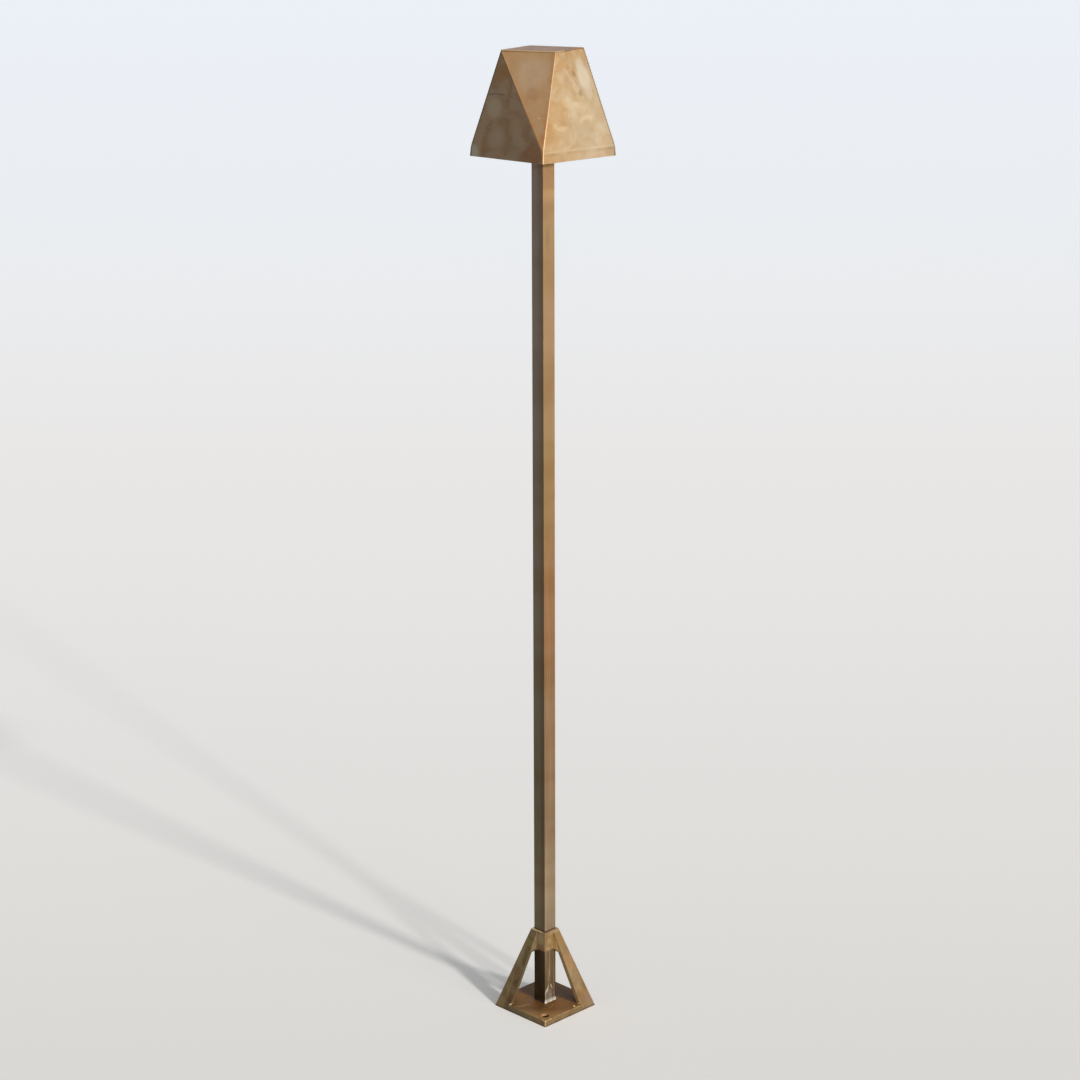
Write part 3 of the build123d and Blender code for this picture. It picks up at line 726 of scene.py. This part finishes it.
def smear_height(place):
    """How high the solder runs up the right front face at a place across it."""
    for (start, low), (end, high) in zip(smear_heights, smear_heights[1:]):
        if place <= end:
            return low + (high - low) * (place - start) / (end - start)
    return smear_heights[-1][1]


solder_outline = square_outline(stem_half, 0.0005, 72, 5, radians(45))
solder_heights = []
for point, direction in solder_outline:
    wander = noise.noise(point * 260) * 0.0006 + noise.noise(point * 900) * 0.0003
    height = solder_low + wander
    if direction.dot(smeared_face) > smear_facing:
        place = max(-1.0, min(1.0, point.dot(smeared_along) / stem_half))
        height = smear_height(place) * (1 + 0.1 * noise.noise(point * 1500)) + wander
    solder_heights.append(height)

solder_shape = bmesh.new()
solder_rim = solder_shape.verts.layers.float.new("rim")
solder_rings = []
for level in range(solder_steps + 1):
    part = level / solder_steps
    ring = []
    for (point, direction), height in zip(solder_outline, solder_heights):
        lift = part ** 1.6 * height
        rough = 1 + 0.35 * noise.noise(point * 400 + Vector((0, 0, lift * 500)))
        toe = solder_width * rough * max(0.0, 1 - lift / solder_toe_height) ** 2
        toe *= 1.0 if direction.dot(smeared_face) > smear_facing else 0.4
        lumps = 0.5 + 0.5 * noise.noise(point * 900 + Vector((0, 0, lift * 260)))
        skin = solder_skin * (0.35 + lumps) * (1 - part ** 8)
        ring.append(point + direction * (toe + skin) + Vector((0, 0, plate_top + lift)))
    solder_rings.append(ring)
for inner_heights in (solder_heights, [0] * len(solder_heights)):
    solder_rings.append([
        point - direction * solder_sunk + Vector((0, 0, plate_top + height))
        for (point, direction), height in zip(solder_outline, inner_heights)
    ])
solder_rows = add_rings(solder_shape, solder_rings, closed=True)
for level, row in enumerate(solder_rows[:solder_steps + 1]):
    for corner in row:
        corner[solder_rim] = level / solder_steps

solder_finish = Finish("solder_finish", {"Specular IOR Level": 0.35})
solder_part = solder_finish.node("Attribute", {"attribute_name": "rim"}, output="Fac")
solder_mottle = solder_finish.clouds(0.0032, 4.0, stretch=(1.0, 1.0, 0.4), swirl=1.0)
solder_smear = solder_finish.clouds(0.0017, 3.0, stretch=(1.0, 1.0, 0.16), shift=5.0, swirl=0.4)
solder_fleck = solder_finish.clouds(0.0011, 3.0, stretch=(1.0, 1.0, 0.45), shift=9.0)
solder_edge = solder_part.rise(0.84, 0.95) * solder_mottle.rise(0.36, 0.5)
solder_base = solder_finish.z.waver(solder_mottle, 0.004).fall(0.0094, 0.0118)
solder_base = solder_base * (0.6 + 0.4 * solder_mottle.rise(0.4, 0.55))
solder_corner = solder_finish.distance((0.0, -stem_corner, 0.0085)).fall(0.0012, 0.0030)
solder_right = (solder_finish.x - solder_finish.y) / sqrt(2)
# The solder on the left faces: painted shade, nearly black, duller and less metallic.
solder_left_painted_shade = (solder_right - stem_half).fall(-0.0010, -0.0002)
solder_colour = solder_finish.mix(
    solder_mottle.rise(0.4, 0.6), tint(104, 84, 64), tint(128, 110, 90)
).coated([
    (solder_smear.rise(0.53, 0.61) * 0.55, tint(196, 188, 168)),
    (solder_fleck.rise(0.58, 0.66) * 0.8, tint(98, 78, 58)),
    (solder_edge * 0.75, tint(204, 196, 176)),
    (solder_base, tint(208, 204, 186)),
    (solder_corner * 0.7, tint(232, 228, 214)),
    (solder_left_painted_shade, tint(48, 34, 22)),
])
solder_finish.join(0.4 * (1 - solder_left_painted_shade), solder_finish.shader.inputs["Metallic"])
solder_finish.paint(
    solder_colour,
    0.34 + 0.3 * solder_mottle + 0.3 * solder_left_painted_shade,
    solder_mottle + solder_smear,
    0.0003,
)
solder = piece_from(solder_shape, "solder_run", solder_finish)
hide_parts("stem_solder")


# Cable grommet and jar gasket: moulded rubber, dull black and a little dusty. The grommet is
# pressed into the plate's cable hole, and the gasket lies in the head fitting under the jar.
rubber_finish = Finish("rubber_finish", {"Specular IOR Level": 0.3})
rubber_dust = rubber_finish.clouds(0.004, 3.0)
rubber_finish.paint(
    rubber_finish.mix(rubber_dust.rise(0.45, 0.7), tint(26, 26, 27), tint(58, 56, 52)),
    0.6 + 0.25 * rubber_dust,
    rubber_finish.clouds(0.0005),
    0.00004,
)
dress(["cable_grommet", "glass_gasket"], rubber_finish)


# Head fitting, strap, peg, shade sleeve and thumb screw: turned, bent and drawn brass, screwed and
# brazed together under the shade. Out of the weather, so only dulled, with faint tool marks.
inner_finish = Finish("inner_finish", {"Metallic": 0.8, "Specular IOR Level": 0.3})
inner_tarnish = inner_finish.clouds(0.012, 4.0, swirl=0.7)
inner_marks = inner_finish.clouds(0.0012, 2.0, stretch=(0.15, 0.15, 1.0), shift=3.0)
inner_finish.paint(
    inner_finish.mix(inner_tarnish.rise(0.38, 0.64), tint(196, 160, 96), tint(142, 106, 58)),
    0.28 + 0.25 * inner_tarnish + 0.08 * inner_marks,
    inner_marks + inner_tarnish * 0.3,
    0.00006,
)
dress(["stem_hub", "shade_carrier", "shade_peg", "shade_sleeve", "thumb_screw"], inner_finish)


# Screws: stainless steel machine screws that hold the head fitting, the strap, the peg and the
# lamp holder, with fine scratches and a little dirt.
steel_finish = Finish("steel_finish", {"Metallic": 0.95})
steel_scratch = steel_finish.clouds(0.0008, 2.0, stretch=(1.0, 0.1, 1.0))
steel_dirt = steel_finish.clouds(0.003, 3.0, shift=2.0).rise(0.5, 0.7)
steel_finish.paint(
    steel_finish.mix(steel_dirt * 0.6, tint(186, 184, 178), tint(110, 98, 80)),
    0.22 + 0.2 * steel_scratch,
    steel_scratch,
    0.00003,
)
dress(["hub_screws", "carrier_screws", "peg_screw", "socket_screws"], steel_finish)


# Lamp holder, its contacts and the lamp's pins: an unglazed ceramic puck, screwed on the head
# fitting, with two nickel-plated spring sleeves that grip the lamp's two plated pins.
ceramic_finish = Finish("ceramic_finish", {"Specular IOR Level": 0.35})
ceramic_speck = ceramic_finish.clouds(0.0006, 2.0)
ceramic_stain = ceramic_finish.clouds(0.008, 3.0, shift=4.0).rise(0.5, 0.7)
ceramic_colour = ceramic_finish.mix(ceramic_stain * 0.4, tint(226, 221, 208), tint(196, 182, 154))
ceramic_finish.paint(
    ceramic_colour.coated([(ceramic_speck.rise(0.66, 0.74) * 0.4, tint(150, 140, 120))]),
    0.55 + 0.2 * ceramic_stain,
    ceramic_speck,
    0.00004,
)
dress(["lamp_socket"], ceramic_finish)

nickel_finish = Finish("nickel_finish", {"Metallic": 1.0})
nickel_wear = nickel_finish.clouds(0.0015, 3.0, stretch=(1.0, 1.0, 0.2))
nickel_finish.paint(
    nickel_finish.mix(nickel_wear, tint(198, 194, 182), tint(166, 158, 138)),
    0.2 + 0.25 * nickel_wear,
    nickel_wear,
    0.00002,
)
dress(["lamp_contacts", "lamp_pins"], nickel_finish)


# Lamp: a moulded white base, pushed into the holder by its two pins, under a frosted, slightly
# warm plastic cover.
lamp_finish = Finish("lamp_base_finish", {"Specular IOR Level": 0.4})
lamp_grain = lamp_finish.clouds(0.0007, 2.0)
lamp_finish.paint(
    lamp_finish.mix(lamp_grain, tint(222, 220, 212), tint(232, 230, 224)),
    0.4 + 0.15 * lamp_grain,
    lamp_grain,
    0.00003,
)
dress(["lamp_base"], lamp_finish)

lens_finish = Finish("lamp_cover_finish", {"Specular IOR Level": 0.5, "Transmission Weight": 0.25})
lens_cloud = lens_finish.clouds(0.006, 2.0)
lens_finish.paint(
    lens_finish.mix(lens_cloud, tint(240, 232, 208), tint(246, 240, 224)),
    0.34 + 0.12 * lens_cloud,
    lens_finish.clouds(0.0006, 2.0, shift=2.0),
    0.00003,
)
dress(["lamp_cover"], lens_finish)


# Weather jar: pressed glass, frosted inside, that drops over the lamp and stands on its gasket
# between the strap's sides. Some dust has settled on it.
glass_plain = {"Transmission Weight": 0.75, "IOR": 1.45, "Specular IOR Level": 0.5}
glass_finish = Finish("glass_finish", glass_plain)
glass_frost = glass_finish.clouds(0.0009, 3.0)
glass_dust = glass_finish.clouds(0.01, 3.0, shift=3.0).rise(0.45, 0.7)
glass_finish.paint(
    glass_finish.mix(glass_dust * 0.5, tint(236, 242, 240), tint(214, 214, 202)),
    0.3 + 0.25 * glass_dust,
    glass_frost,
    0.00004,
)
dress(["glass_cover"], glass_finish)


# Lead wires and crimp splices: the wires hang down inside the stem from the lamp holder to the
# splices near its foot. Black and pale grey insulation, red crimp barrels.
for node_name, pale, deep in [
    ("lead_wire_left", tint(40, 40, 42), tint(22, 22, 24)),
    ("lead_wire_right", tint(214, 212, 204), tint(180, 176, 166)),
    ("wire_splices", tint(168, 48, 38), tint(122, 30, 24)),
]:
    wire_finish = Finish(node_name + "_finish", {"Specular IOR Level": 0.4})
    wire_scuff = wire_finish.clouds(0.004, 3.0, stretch=(1.0, 1.0, 0.3))
    wire_finish.paint(
        wire_finish.mix(wire_scuff.rise(0.4, 0.7), pale, deep),
        0.4 + 0.2 * wire_scuff,
        wire_scuff,
        0.00004,
    )
    dress([node_name], wire_finish)


# Shade: brass sheet folded into four sides with an upright hem. Each side is folded once across,
# from its upper left corner to its lower right one, and the patina has clouded over.
shade_bottom = 0.8927
shade_bend = 0.9019
shade_sheet_level = 0.9932
shade_thick = 0.001
shade_half = 0.0501
shade_bend_half = 0.0494
shade_top_half = 0.0296
shade_turn = radians(17.25)
shade_corner = 0.0693
shade_taper = 0.327
shade_fold_round = 0.0016
shade_lip_round = 0.0002
sheet_metal = {"Metallic": 0.3, "Specular IOR Level": 0.25}

shade_finish = Finish("shade_finish", sheet_metal)
# Faces that look left get the umber: partly weathering and partly painted shade.
shade_weathered_and_shadowed = (-shade_finish.normal("X")).rise(0.3, 0.74)
shade_sunny = 1 - shade_weathered_and_shadowed
shade_along = (shade_finish.x + shade_finish.y) / sqrt(2)
shade_above = shade_finish.z - shade_bend
shade_veil = shade_finish.clouds(0.030, 3.0, shift=3.0, swirl=0.3)
shade_cloud = shade_finish.clouds(0.015, 3.0, shift=1.0, swirl=0.4)
shade_wisp = shade_finish.clouds(0.011, 4.0, stretch=(0.7, 0.7, 1.0), shift=8.0, swirl=0.7)
shade_fine = shade_finish.clouds(0.0015, 3.0, shift=5.0)


def shade_stroke(centre, radius, width, window, reach):
    """A curved rub mark: part of a ring about a centre, fading out away from a window."""
    ring = abs((shade_finish.distance(centre) - radius).waver(shade_wisp, 0.006))
    return ring.fall(width * 0.2, width) * shade_finish.distance(window).fall(reach * 0.4, reach)


# Its right side: golden, with a pale veil that leaves the left edge and the top.
shade_pale_border = shade_along - (shade_finish.z - 0.927) * 0.53 + 0.0233
shade_pale = shade_pale_border.waver(shade_veil, 0.07).rise(-0.010, 0.014)
shade_pale = shade_pale.larger(shade_veil.rise(0.52, 0.66) * 0.5)
shade_pale = shade_pale * (1 - shade_finish.z.rise(0.972, 0.984) * 0.75)
shade_pale_tone = shade_finish.mix(
    shade_veil.rise(0.4, 0.62), tint(201, 173, 134), tint(209, 187, 156)
)
shade_strokes = [
    ((0.0403, -0.0107, 1.0007), 0.0600, 0.0050, (0.0304, -0.0312, 0.9452), 0.022, 0.30),
    ((0.0200, -0.0460, 0.9460), 0.0230, 0.0040, (0.0162, -0.0496, 0.9230), 0.013, 0.32),
    ((0.0440, -0.0200, 0.9100), 0.0220, 0.0036, (0.0404, -0.0239, 0.9311), 0.013, 0.35),
    ((0.0300, -0.0330, 0.9600), 0.0180, 0.0045, (0.0240, -0.0390, 0.9430), 0.014, 0.25),
]
shade_gold = shade_finish.mix(
    shade_cloud.rise(0.36, 0.62), tint(193, 151, 100), tint(200, 164, 118)
).coated([
    (shade_pale * 0.9, shade_pale_tone),
    (shade_wisp.rise(0.52, 0.68) * 0.35, tint(214, 196, 164)),
    ((1 - shade_wisp).rise(0.52, 0.68) * 0.4, tint(184, 148, 104)),
    *shade_finish.blooms(shade_cloud, [
        ((0.0390, -0.0090, 0.967), 0.015, 0.85, tint(222, 204, 176)),
        ((0.0360, -0.0070, 0.979), 0.010, 0.70, tint(216, 198, 170)),
        ((0.0450, -0.0090, 0.955), 0.011, 0.60, tint(216, 196, 166)),
        ((0.0298, -0.0227, 0.9725), 0.0042, 0.70, tint(150, 122, 86)),
        ((0.0360, -0.0238, 0.9544), 0.0048, 0.55, tint(158, 130, 92)),
        ((0.0380, -0.0286, 0.9192), 0.020, 0.60, tint(190, 164, 126)),
        ((0.0660, -0.0040, 0.898), 0.009, 0.60, tint(172, 160, 134)),
    ]),
    *[(shade_stroke(*mark) * strength, tint(232, 212, 174)) for *mark, strength in shade_strokes],
])

# Its middle: the upper half of the front left side, bronze, with a pale cloud and a flush.
shade_middle = (-shade_finish.normal("Y")).rise(0.75, 0.85) * shade_sunny
shade_bronze_edge = shade_above * 0.136 - shade_finish.x
shade_bronze_edge = shade_bronze_edge.waver(shade_cloud, 0.006).fall(0.0005, 0.006)
shade_pale_spot = ((-0.010, -0.036, 0.974), 0.022, 0.85, tint(216, 184, 150))
shade_flush_spot = ((-0.008, -0.043, 0.955), 0.009, 0.6, tint(190, 140, 106))
shade_bronze = shade_finish.mix(
    shade_finish.z.rise(0.915, 0.96), tint(192, 132, 74), tint(210, 162, 110)
).coated([
    (shade_cloud.rise(0.4, 0.62) * 0.4, tint(212, 168, 120)),
    (shade_wisp.rise(0.52, 0.66) * 0.3, tint(184, 140, 98)),
    *shade_finish.blooms(shade_cloud, [shade_pale_spot], 1.0),
    *shade_finish.blooms(shade_cloud, [shade_flush_spot]),
    (shade_bronze_edge * 0.6, tint(184, 128, 76)),
])
shade_speck = shade_finish.distance((-0.0036, -0.0550, 0.934)).fall(0.0004, 0.0014)

# Its left side: the lower half of that side, umber, darker partly from weathering and partly as
# painted shade, with cloudy patches and a smear.
shade_smear = shade_stroke(
    (-0.0440, -0.0170, 0.9000), 0.0530, 0.0011, (-0.0440, -0.0160, 0.9525), 0.016
)
shade_umber = shade_finish.mix(
    shade_cloud.rise(0.4, 0.62), tint(130, 102, 74), tint(144, 121, 97)
).coated([
    (shade_veil.rise(0.5, 0.64) * 0.5, tint(143, 127, 105)),
    (shade_wisp.rise(0.54, 0.68) * 0.3, tint(116, 95, 70)),
    *shade_finish.blooms(shade_cloud, [
        ((-0.0400, -0.0120, 0.972), 0.017, 0.85, tint(135, 96, 59)),
        ((-0.0464, -0.0163, 0.940), 0.014, 0.75, tint(160, 143, 120)),
        ((-0.0244, -0.0410, 0.925), 0.012, 0.45, tint(153, 128, 103)),
        ((-0.0075, -0.0620, 0.905), 0.020, 0.80, tint(126, 89, 59)),
        ((-0.0440, -0.0240, 0.912), 0.014, 0.50, tint(157, 138, 118)),
        ((-0.0170, -0.0520, 0.8950), 0.011, 0.60, tint(118, 78, 48)),
        ((-0.0660, -0.0040, 0.897), 0.010, 0.75, tint(167, 165, 147)),
    ]),
    (shade_smear * 0.7, tint(66, 54, 38)),
])

# Its folds and edges: the bend above the hem, the fold across, a painted highlight on the front
# ridge and the dark outer corners.
shade_hem_patch = 0.3 + 0.7 * shade_finish.clouds(0.02, 2.0, shift=1.0).rise(0.36, 0.55)
shade_hem_shadow = abs(shade_above + 0.0016).fall(0.0002, 0.0024) * shade_hem_patch
shade_hem_shadow = shade_hem_shadow * (1 - shade_weathered_and_shadowed * 0.85)
shade_hem_glow = shade_above.fall(-0.0034, -0.0019) * shade_sunny * shade_hem_patch
shade_hem_light = abs(shade_above - 0.0008).fall(0.0003, 0.0013) * shade_hem_patch
shade_hem_light = shade_hem_light * shade_sunny * (1 - shade_middle)
shade_fold = shade_finish.line_gap((-0.0400, -0.0124, 0.9932), (0.0, -0.0699, 0.9019))
shade_fold = shade_fold.waver(shade_fine, 0.001).fall(0.0003, 0.0014)
shade_ridge_painted_highlight = abs(shade_finish.normal("X") - 0.2).fall(0.1, 0.28)
shade_ridge_painted_highlight = shade_ridge_painted_highlight * (-shade_finish.normal("Y")).rise(0.3, 0.6)
shade_ridge_painted_highlight = shade_ridge_painted_highlight * (abs(shade_finish.x - 0.006) - 0.011).fall(0.0, 0.003)
shade_side_reach = shade_corner - shade_above.larger(0.0) * shade_taper
shade_side_gap = shade_side_reach - abs(shade_finish.x)
shade_side_edge = shade_side_gap.waver(shade_fine, 0.0012).fall(0.0006, 0.0015)
shade_side_tone = shade_finish.mix(shade_weathered_and_shadowed, tint(126, 98, 62), tint(62, 50, 36))
shade_colour = shade_gold.coated([
    (shade_middle, shade_bronze),
    (shade_speck * 0.8, tint(236, 214, 176)),
    (shade_weathered_and_shadowed * 0.95, shade_umber),
    (shade_hem_shadow * 0.4, tint(160, 118, 74)),
    (shade_hem_glow * 0.4, tint(196, 150, 98)),
    (shade_hem_light * 0.35, tint(222, 194, 150)),
    (shade_fold * 0.45, tint(98, 68, 42)),
    (shade_ridge_painted_highlight * 0.85, tint(246, 218, 174)),
    (shade_side_edge * 0.6, shade_side_tone),
    (shade_fine.rise(0.66, 0.76) * 0.2, tint(120, 92, 62)),
])
shade_finish.paint(
    shade_colour,
    0.58 + 0.16 * shade_cloud - 0.08 * shade_wisp,
    shade_veil + shade_cloud * 0.3 + shade_fine * 0.02,
    0.0010,
)


def square_at(half, turn, height):
    """The corners of a level square, the front one first, then anticlockwise from above."""
    reach = half * sqrt(2)
    angles = [radians(90 * quarter - 90) + turn for quarter in range(4)]
    return [Vector((reach * cos(angle), reach * sin(angle), height)) for angle in angles]


shade_shape = bmesh.new()
hem_row, bend_row, head_row = [
    [shade_shape.verts.new(corner) for corner in square_at(half, turn, height)]
    for half, turn, height in [
        (shade_half, 0, shade_bottom),
        (shade_bend_half, 0, shade_bend),
        (shade_top_half, shade_turn, shade_sheet_level),
    ]
]
fold_lines = []
for near in range(4):
    far = (near + 1) % 4
    shade_shape.faces.new((hem_row[near], hem_row[far], bend_row[far], bend_row[near]))
    shade_shape.faces.new((bend_row[near], bend_row[far], head_row[near]))
    shade_shape.faces.new((bend_row[far], head_row[far], head_row[near]))
    fold_lines += [
        (hem_row[near], bend_row[near], 1.0),
        (bend_row[near], head_row[near], 1.0),
        (bend_row[far], head_row[near], 0.9),
        (bend_row[near], bend_row[far], 0.9),
    ]
fold_weight = shade_shape.edges.layers.float.new("bevel_weight_edge")
for start, end, weight in fold_lines:
    shade_shape.edges.get((start, end))[fold_weight] = weight
shade = piece_from(shade_shape, "shade_skin", shade_finish, "shade")
for name, kind, settings in [
    ("folds", "BEVEL", {"limit_method": "WEIGHT", "width": shade_fold_round, "segments": 4}),
    ("sheet", "SOLIDIFY", {"thickness": shade_thick, "offset": -1.0, "use_even_offset": True}),
    ("lip", "BEVEL", {
        "limit_method": "ANGLE",
        "angle_limit": radians(60),
        "width": shade_lip_round,
        "segments": 2,
    }),
]:
    modifier = shade.modifiers.new(name, kind)
    for setting, value in settings.items():
        setattr(modifier, setting, value)
shade_made = shade.evaluated_get(bpy.context.evaluated_depsgraph_get())
shade.data = bpy.data.meshes.new_from_object(shade_made)
shade.modifiers.clear()
for corner in shade.data.vertices:
    corner.co.z = max(shade_bottom, min(shade_sheet_level, corner.co.z))
shade.modifiers.new("flats", "WEIGHTED_NORMAL").weight = 100
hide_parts("shade_shell")


# Shade top: a flat square of the same sheet, brazed on the shell's upper edge. It has gone a dull
# red brown where water stands on it, and is rubbed bright round its rim.
lid_finish = Finish("lid_finish", sheet_metal)
lid_angle = radians(45) + shade_turn
lid_along = lid_finish.x * cos(lid_angle) + lid_finish.y * sin(lid_angle)
lid_across = lid_finish.x * sin(lid_angle) - lid_finish.y * cos(lid_angle)
lid_inset = shade_top_half - abs(lid_along).larger(abs(lid_across))
lid_cloud = lid_finish.clouds(0.02, 4.0, swirl=1.0)
lid_rub = lid_inset.waver(lid_cloud, 0.006).fall(0.0003, 0.0022)
lid_bright = (-lid_finish.y - lid_finish.x).rise(-0.01, 0.02)
lid_rub_tone = lid_finish.mix(lid_bright, tint(168, 124, 80), tint(226, 190, 142))
lid_stain = lid_finish.x.waver(lid_cloud, 0.03).rise(0.0, 0.03) * (1 - lid_rub)
lid_colour = lid_finish.mix(
    lid_cloud.rise(0.4, 0.62), tint(134, 94, 64), tint(164, 128, 96)
).coated([
    (lid_rub * 0.85, lid_rub_tone),
    (lid_stain * 0.5, tint(132, 92, 68)),
])
lid_finish.paint(lid_colour, 0.4 + 0.2 * lid_cloud, lid_cloud, 0.0004)

lid_shape = bmesh.new()
lid_rings = []
for inset, lift in [
    (0.0008, 0.0),
    (0.0001, 0.0),
    (0.0, 0.0002),
    (0.0, 0.0005),
    (0.00015, 0.00075),
    (0.0005, 0.0009),
    (0.004, 0.00095),
    (0.015, shade_thick),
]:
    outline = square_outline(shade_top_half - inset, 0.0012, 4, 4, lid_angle)
    height = Vector((0, 0, shade_sheet_level + lift))
    lid_rings.append([point + height for point, direction in outline])
add_rings(lid_shape, lid_rings, caps=True)
lid = piece_from(lid_shape, "shade_lid", lid_finish, "shade")
lid.modifiers.new("flats", "WEIGHTED_NORMAL").weight = 100
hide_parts("shade_top")


# Studio: a plain pale floor that fades to a paler distance, soft light from the front right, and
# a weak even light from all round.
def end_tree(nodes, output, unseen, seen):
    """Ends a tree of nodes in one shader for what the camera sees, straight, mirrored or through
    glass, and in another for all other light."""
    straight = nodes.node("LightPath", output="Is Camera Ray")
    mirrored = straight.beside("Is Glossy Ray")
    through = straight.beside("Is Transmission Ray")
    parts = {0: straight.larger(mirrored).larger(through), 1: unseen, 2: seen}
    nodes.join(nodes.node("MixShader", {}, parts), output.inputs["Surface"])


floor_reach = 60.0
floor_seen = (0.962, 0.922, 0.894, 1.0)
floor_bounce = (0.36, 0.35, 0.34, 1.0)
haze_nearest = 0.5
haze_start = 0.05
haze_span = 0.46

floor_finish = Finish("floor_finish")
floor_slope = camera_place.z / (floor_finish.y - camera_place.y).larger(haze_nearest)
floor_haze = floor_finish.ramp((floor_slope - haze_start) / haze_span, [
    (0.00, (0.268, 0.316, 0.392, 1.0)),
    (0.16, (0.258, 0.306, 0.356, 1.0)),
    (0.42, (0.246, 0.246, 0.250, 1.0)),
    (0.80, (0.172, 0.172, 0.164, 1.0)),
    (1.00, (0.134, 0.136, 0.126, 1.0)),
])
floor_glow = floor_finish.node("Emission", {}, {"Color": floor_haze, "Strength": 1.0})
floor_pale = floor_finish.node("BsdfDiffuse", {}, {"Color": floor_seen})
floor_dull = floor_finish.node("BsdfDiffuse", {}, {"Color": floor_bounce})
floor_view = floor_finish.node("AddShader", {}, {0: floor_pale, 1: floor_glow})
end_tree(floor_finish, floor_finish.tree.nodes["Material Output"], floor_dull, floor_view)

floor_shape = bmesh.new()
floor_shape.faces.new([
    floor_shape.verts.new((across * floor_reach, along * floor_reach, 0.0))
    for across, along in [(-1, -1), (1, -1), (1, 1), (-1, 1)]
])
floor = object_from(floor_shape, "floor", floor_finish)

for lamp_name, bearing, height, strength, spread, colour in [
    ("key_light", -46.2, 37.0, 1.15, 4.5, (1.0, 0.985, 0.96)),
    ("second_light", -58.0, 13.0, 1.25, 3.8, (1.0, 0.99, 0.97)),
    ("soft_light", -50.0, 22.0, 0.60, 40.0, (1.0, 0.99, 0.97)),
]:
    light_data = bpy.data.lights.new(lamp_name, "SUN")
    light_data.energy = strength
    light_data.color = colour
    light_data.angle = radians(spread)
    light = bpy.data.objects.new(lamp_name, light_data)
    turn, lift = radians(bearing), radians(height)
    towards = Vector((cos(turn) * cos(lift), sin(turn) * cos(lift), sin(lift)))
    light.rotation_mode = "QUATERNION"
    light.rotation_quaternion = towards.to_track_quat("Z", "Y")
    scene.collection.objects.link(light)

world = bpy.data.worlds.new("studio_air")
world.use_nodes = True
world.node_tree.nodes.clear()
scene.world = world
air = Nodes(world.node_tree)
air_fill = air.node("Background", {}, {"Color": (0.88, 0.94, 1.0, 1.0), "Strength": 0.24})
air_back = air.node("Background", {}, {"Color": (0.85, 0.884, 0.934, 1.0), "Strength": 1.0})
end_tree(air, air.tree.nodes.new("ShaderNodeOutputWorld"), air_fill, air_back)

scene.view_settings.view_transform = "Standard"
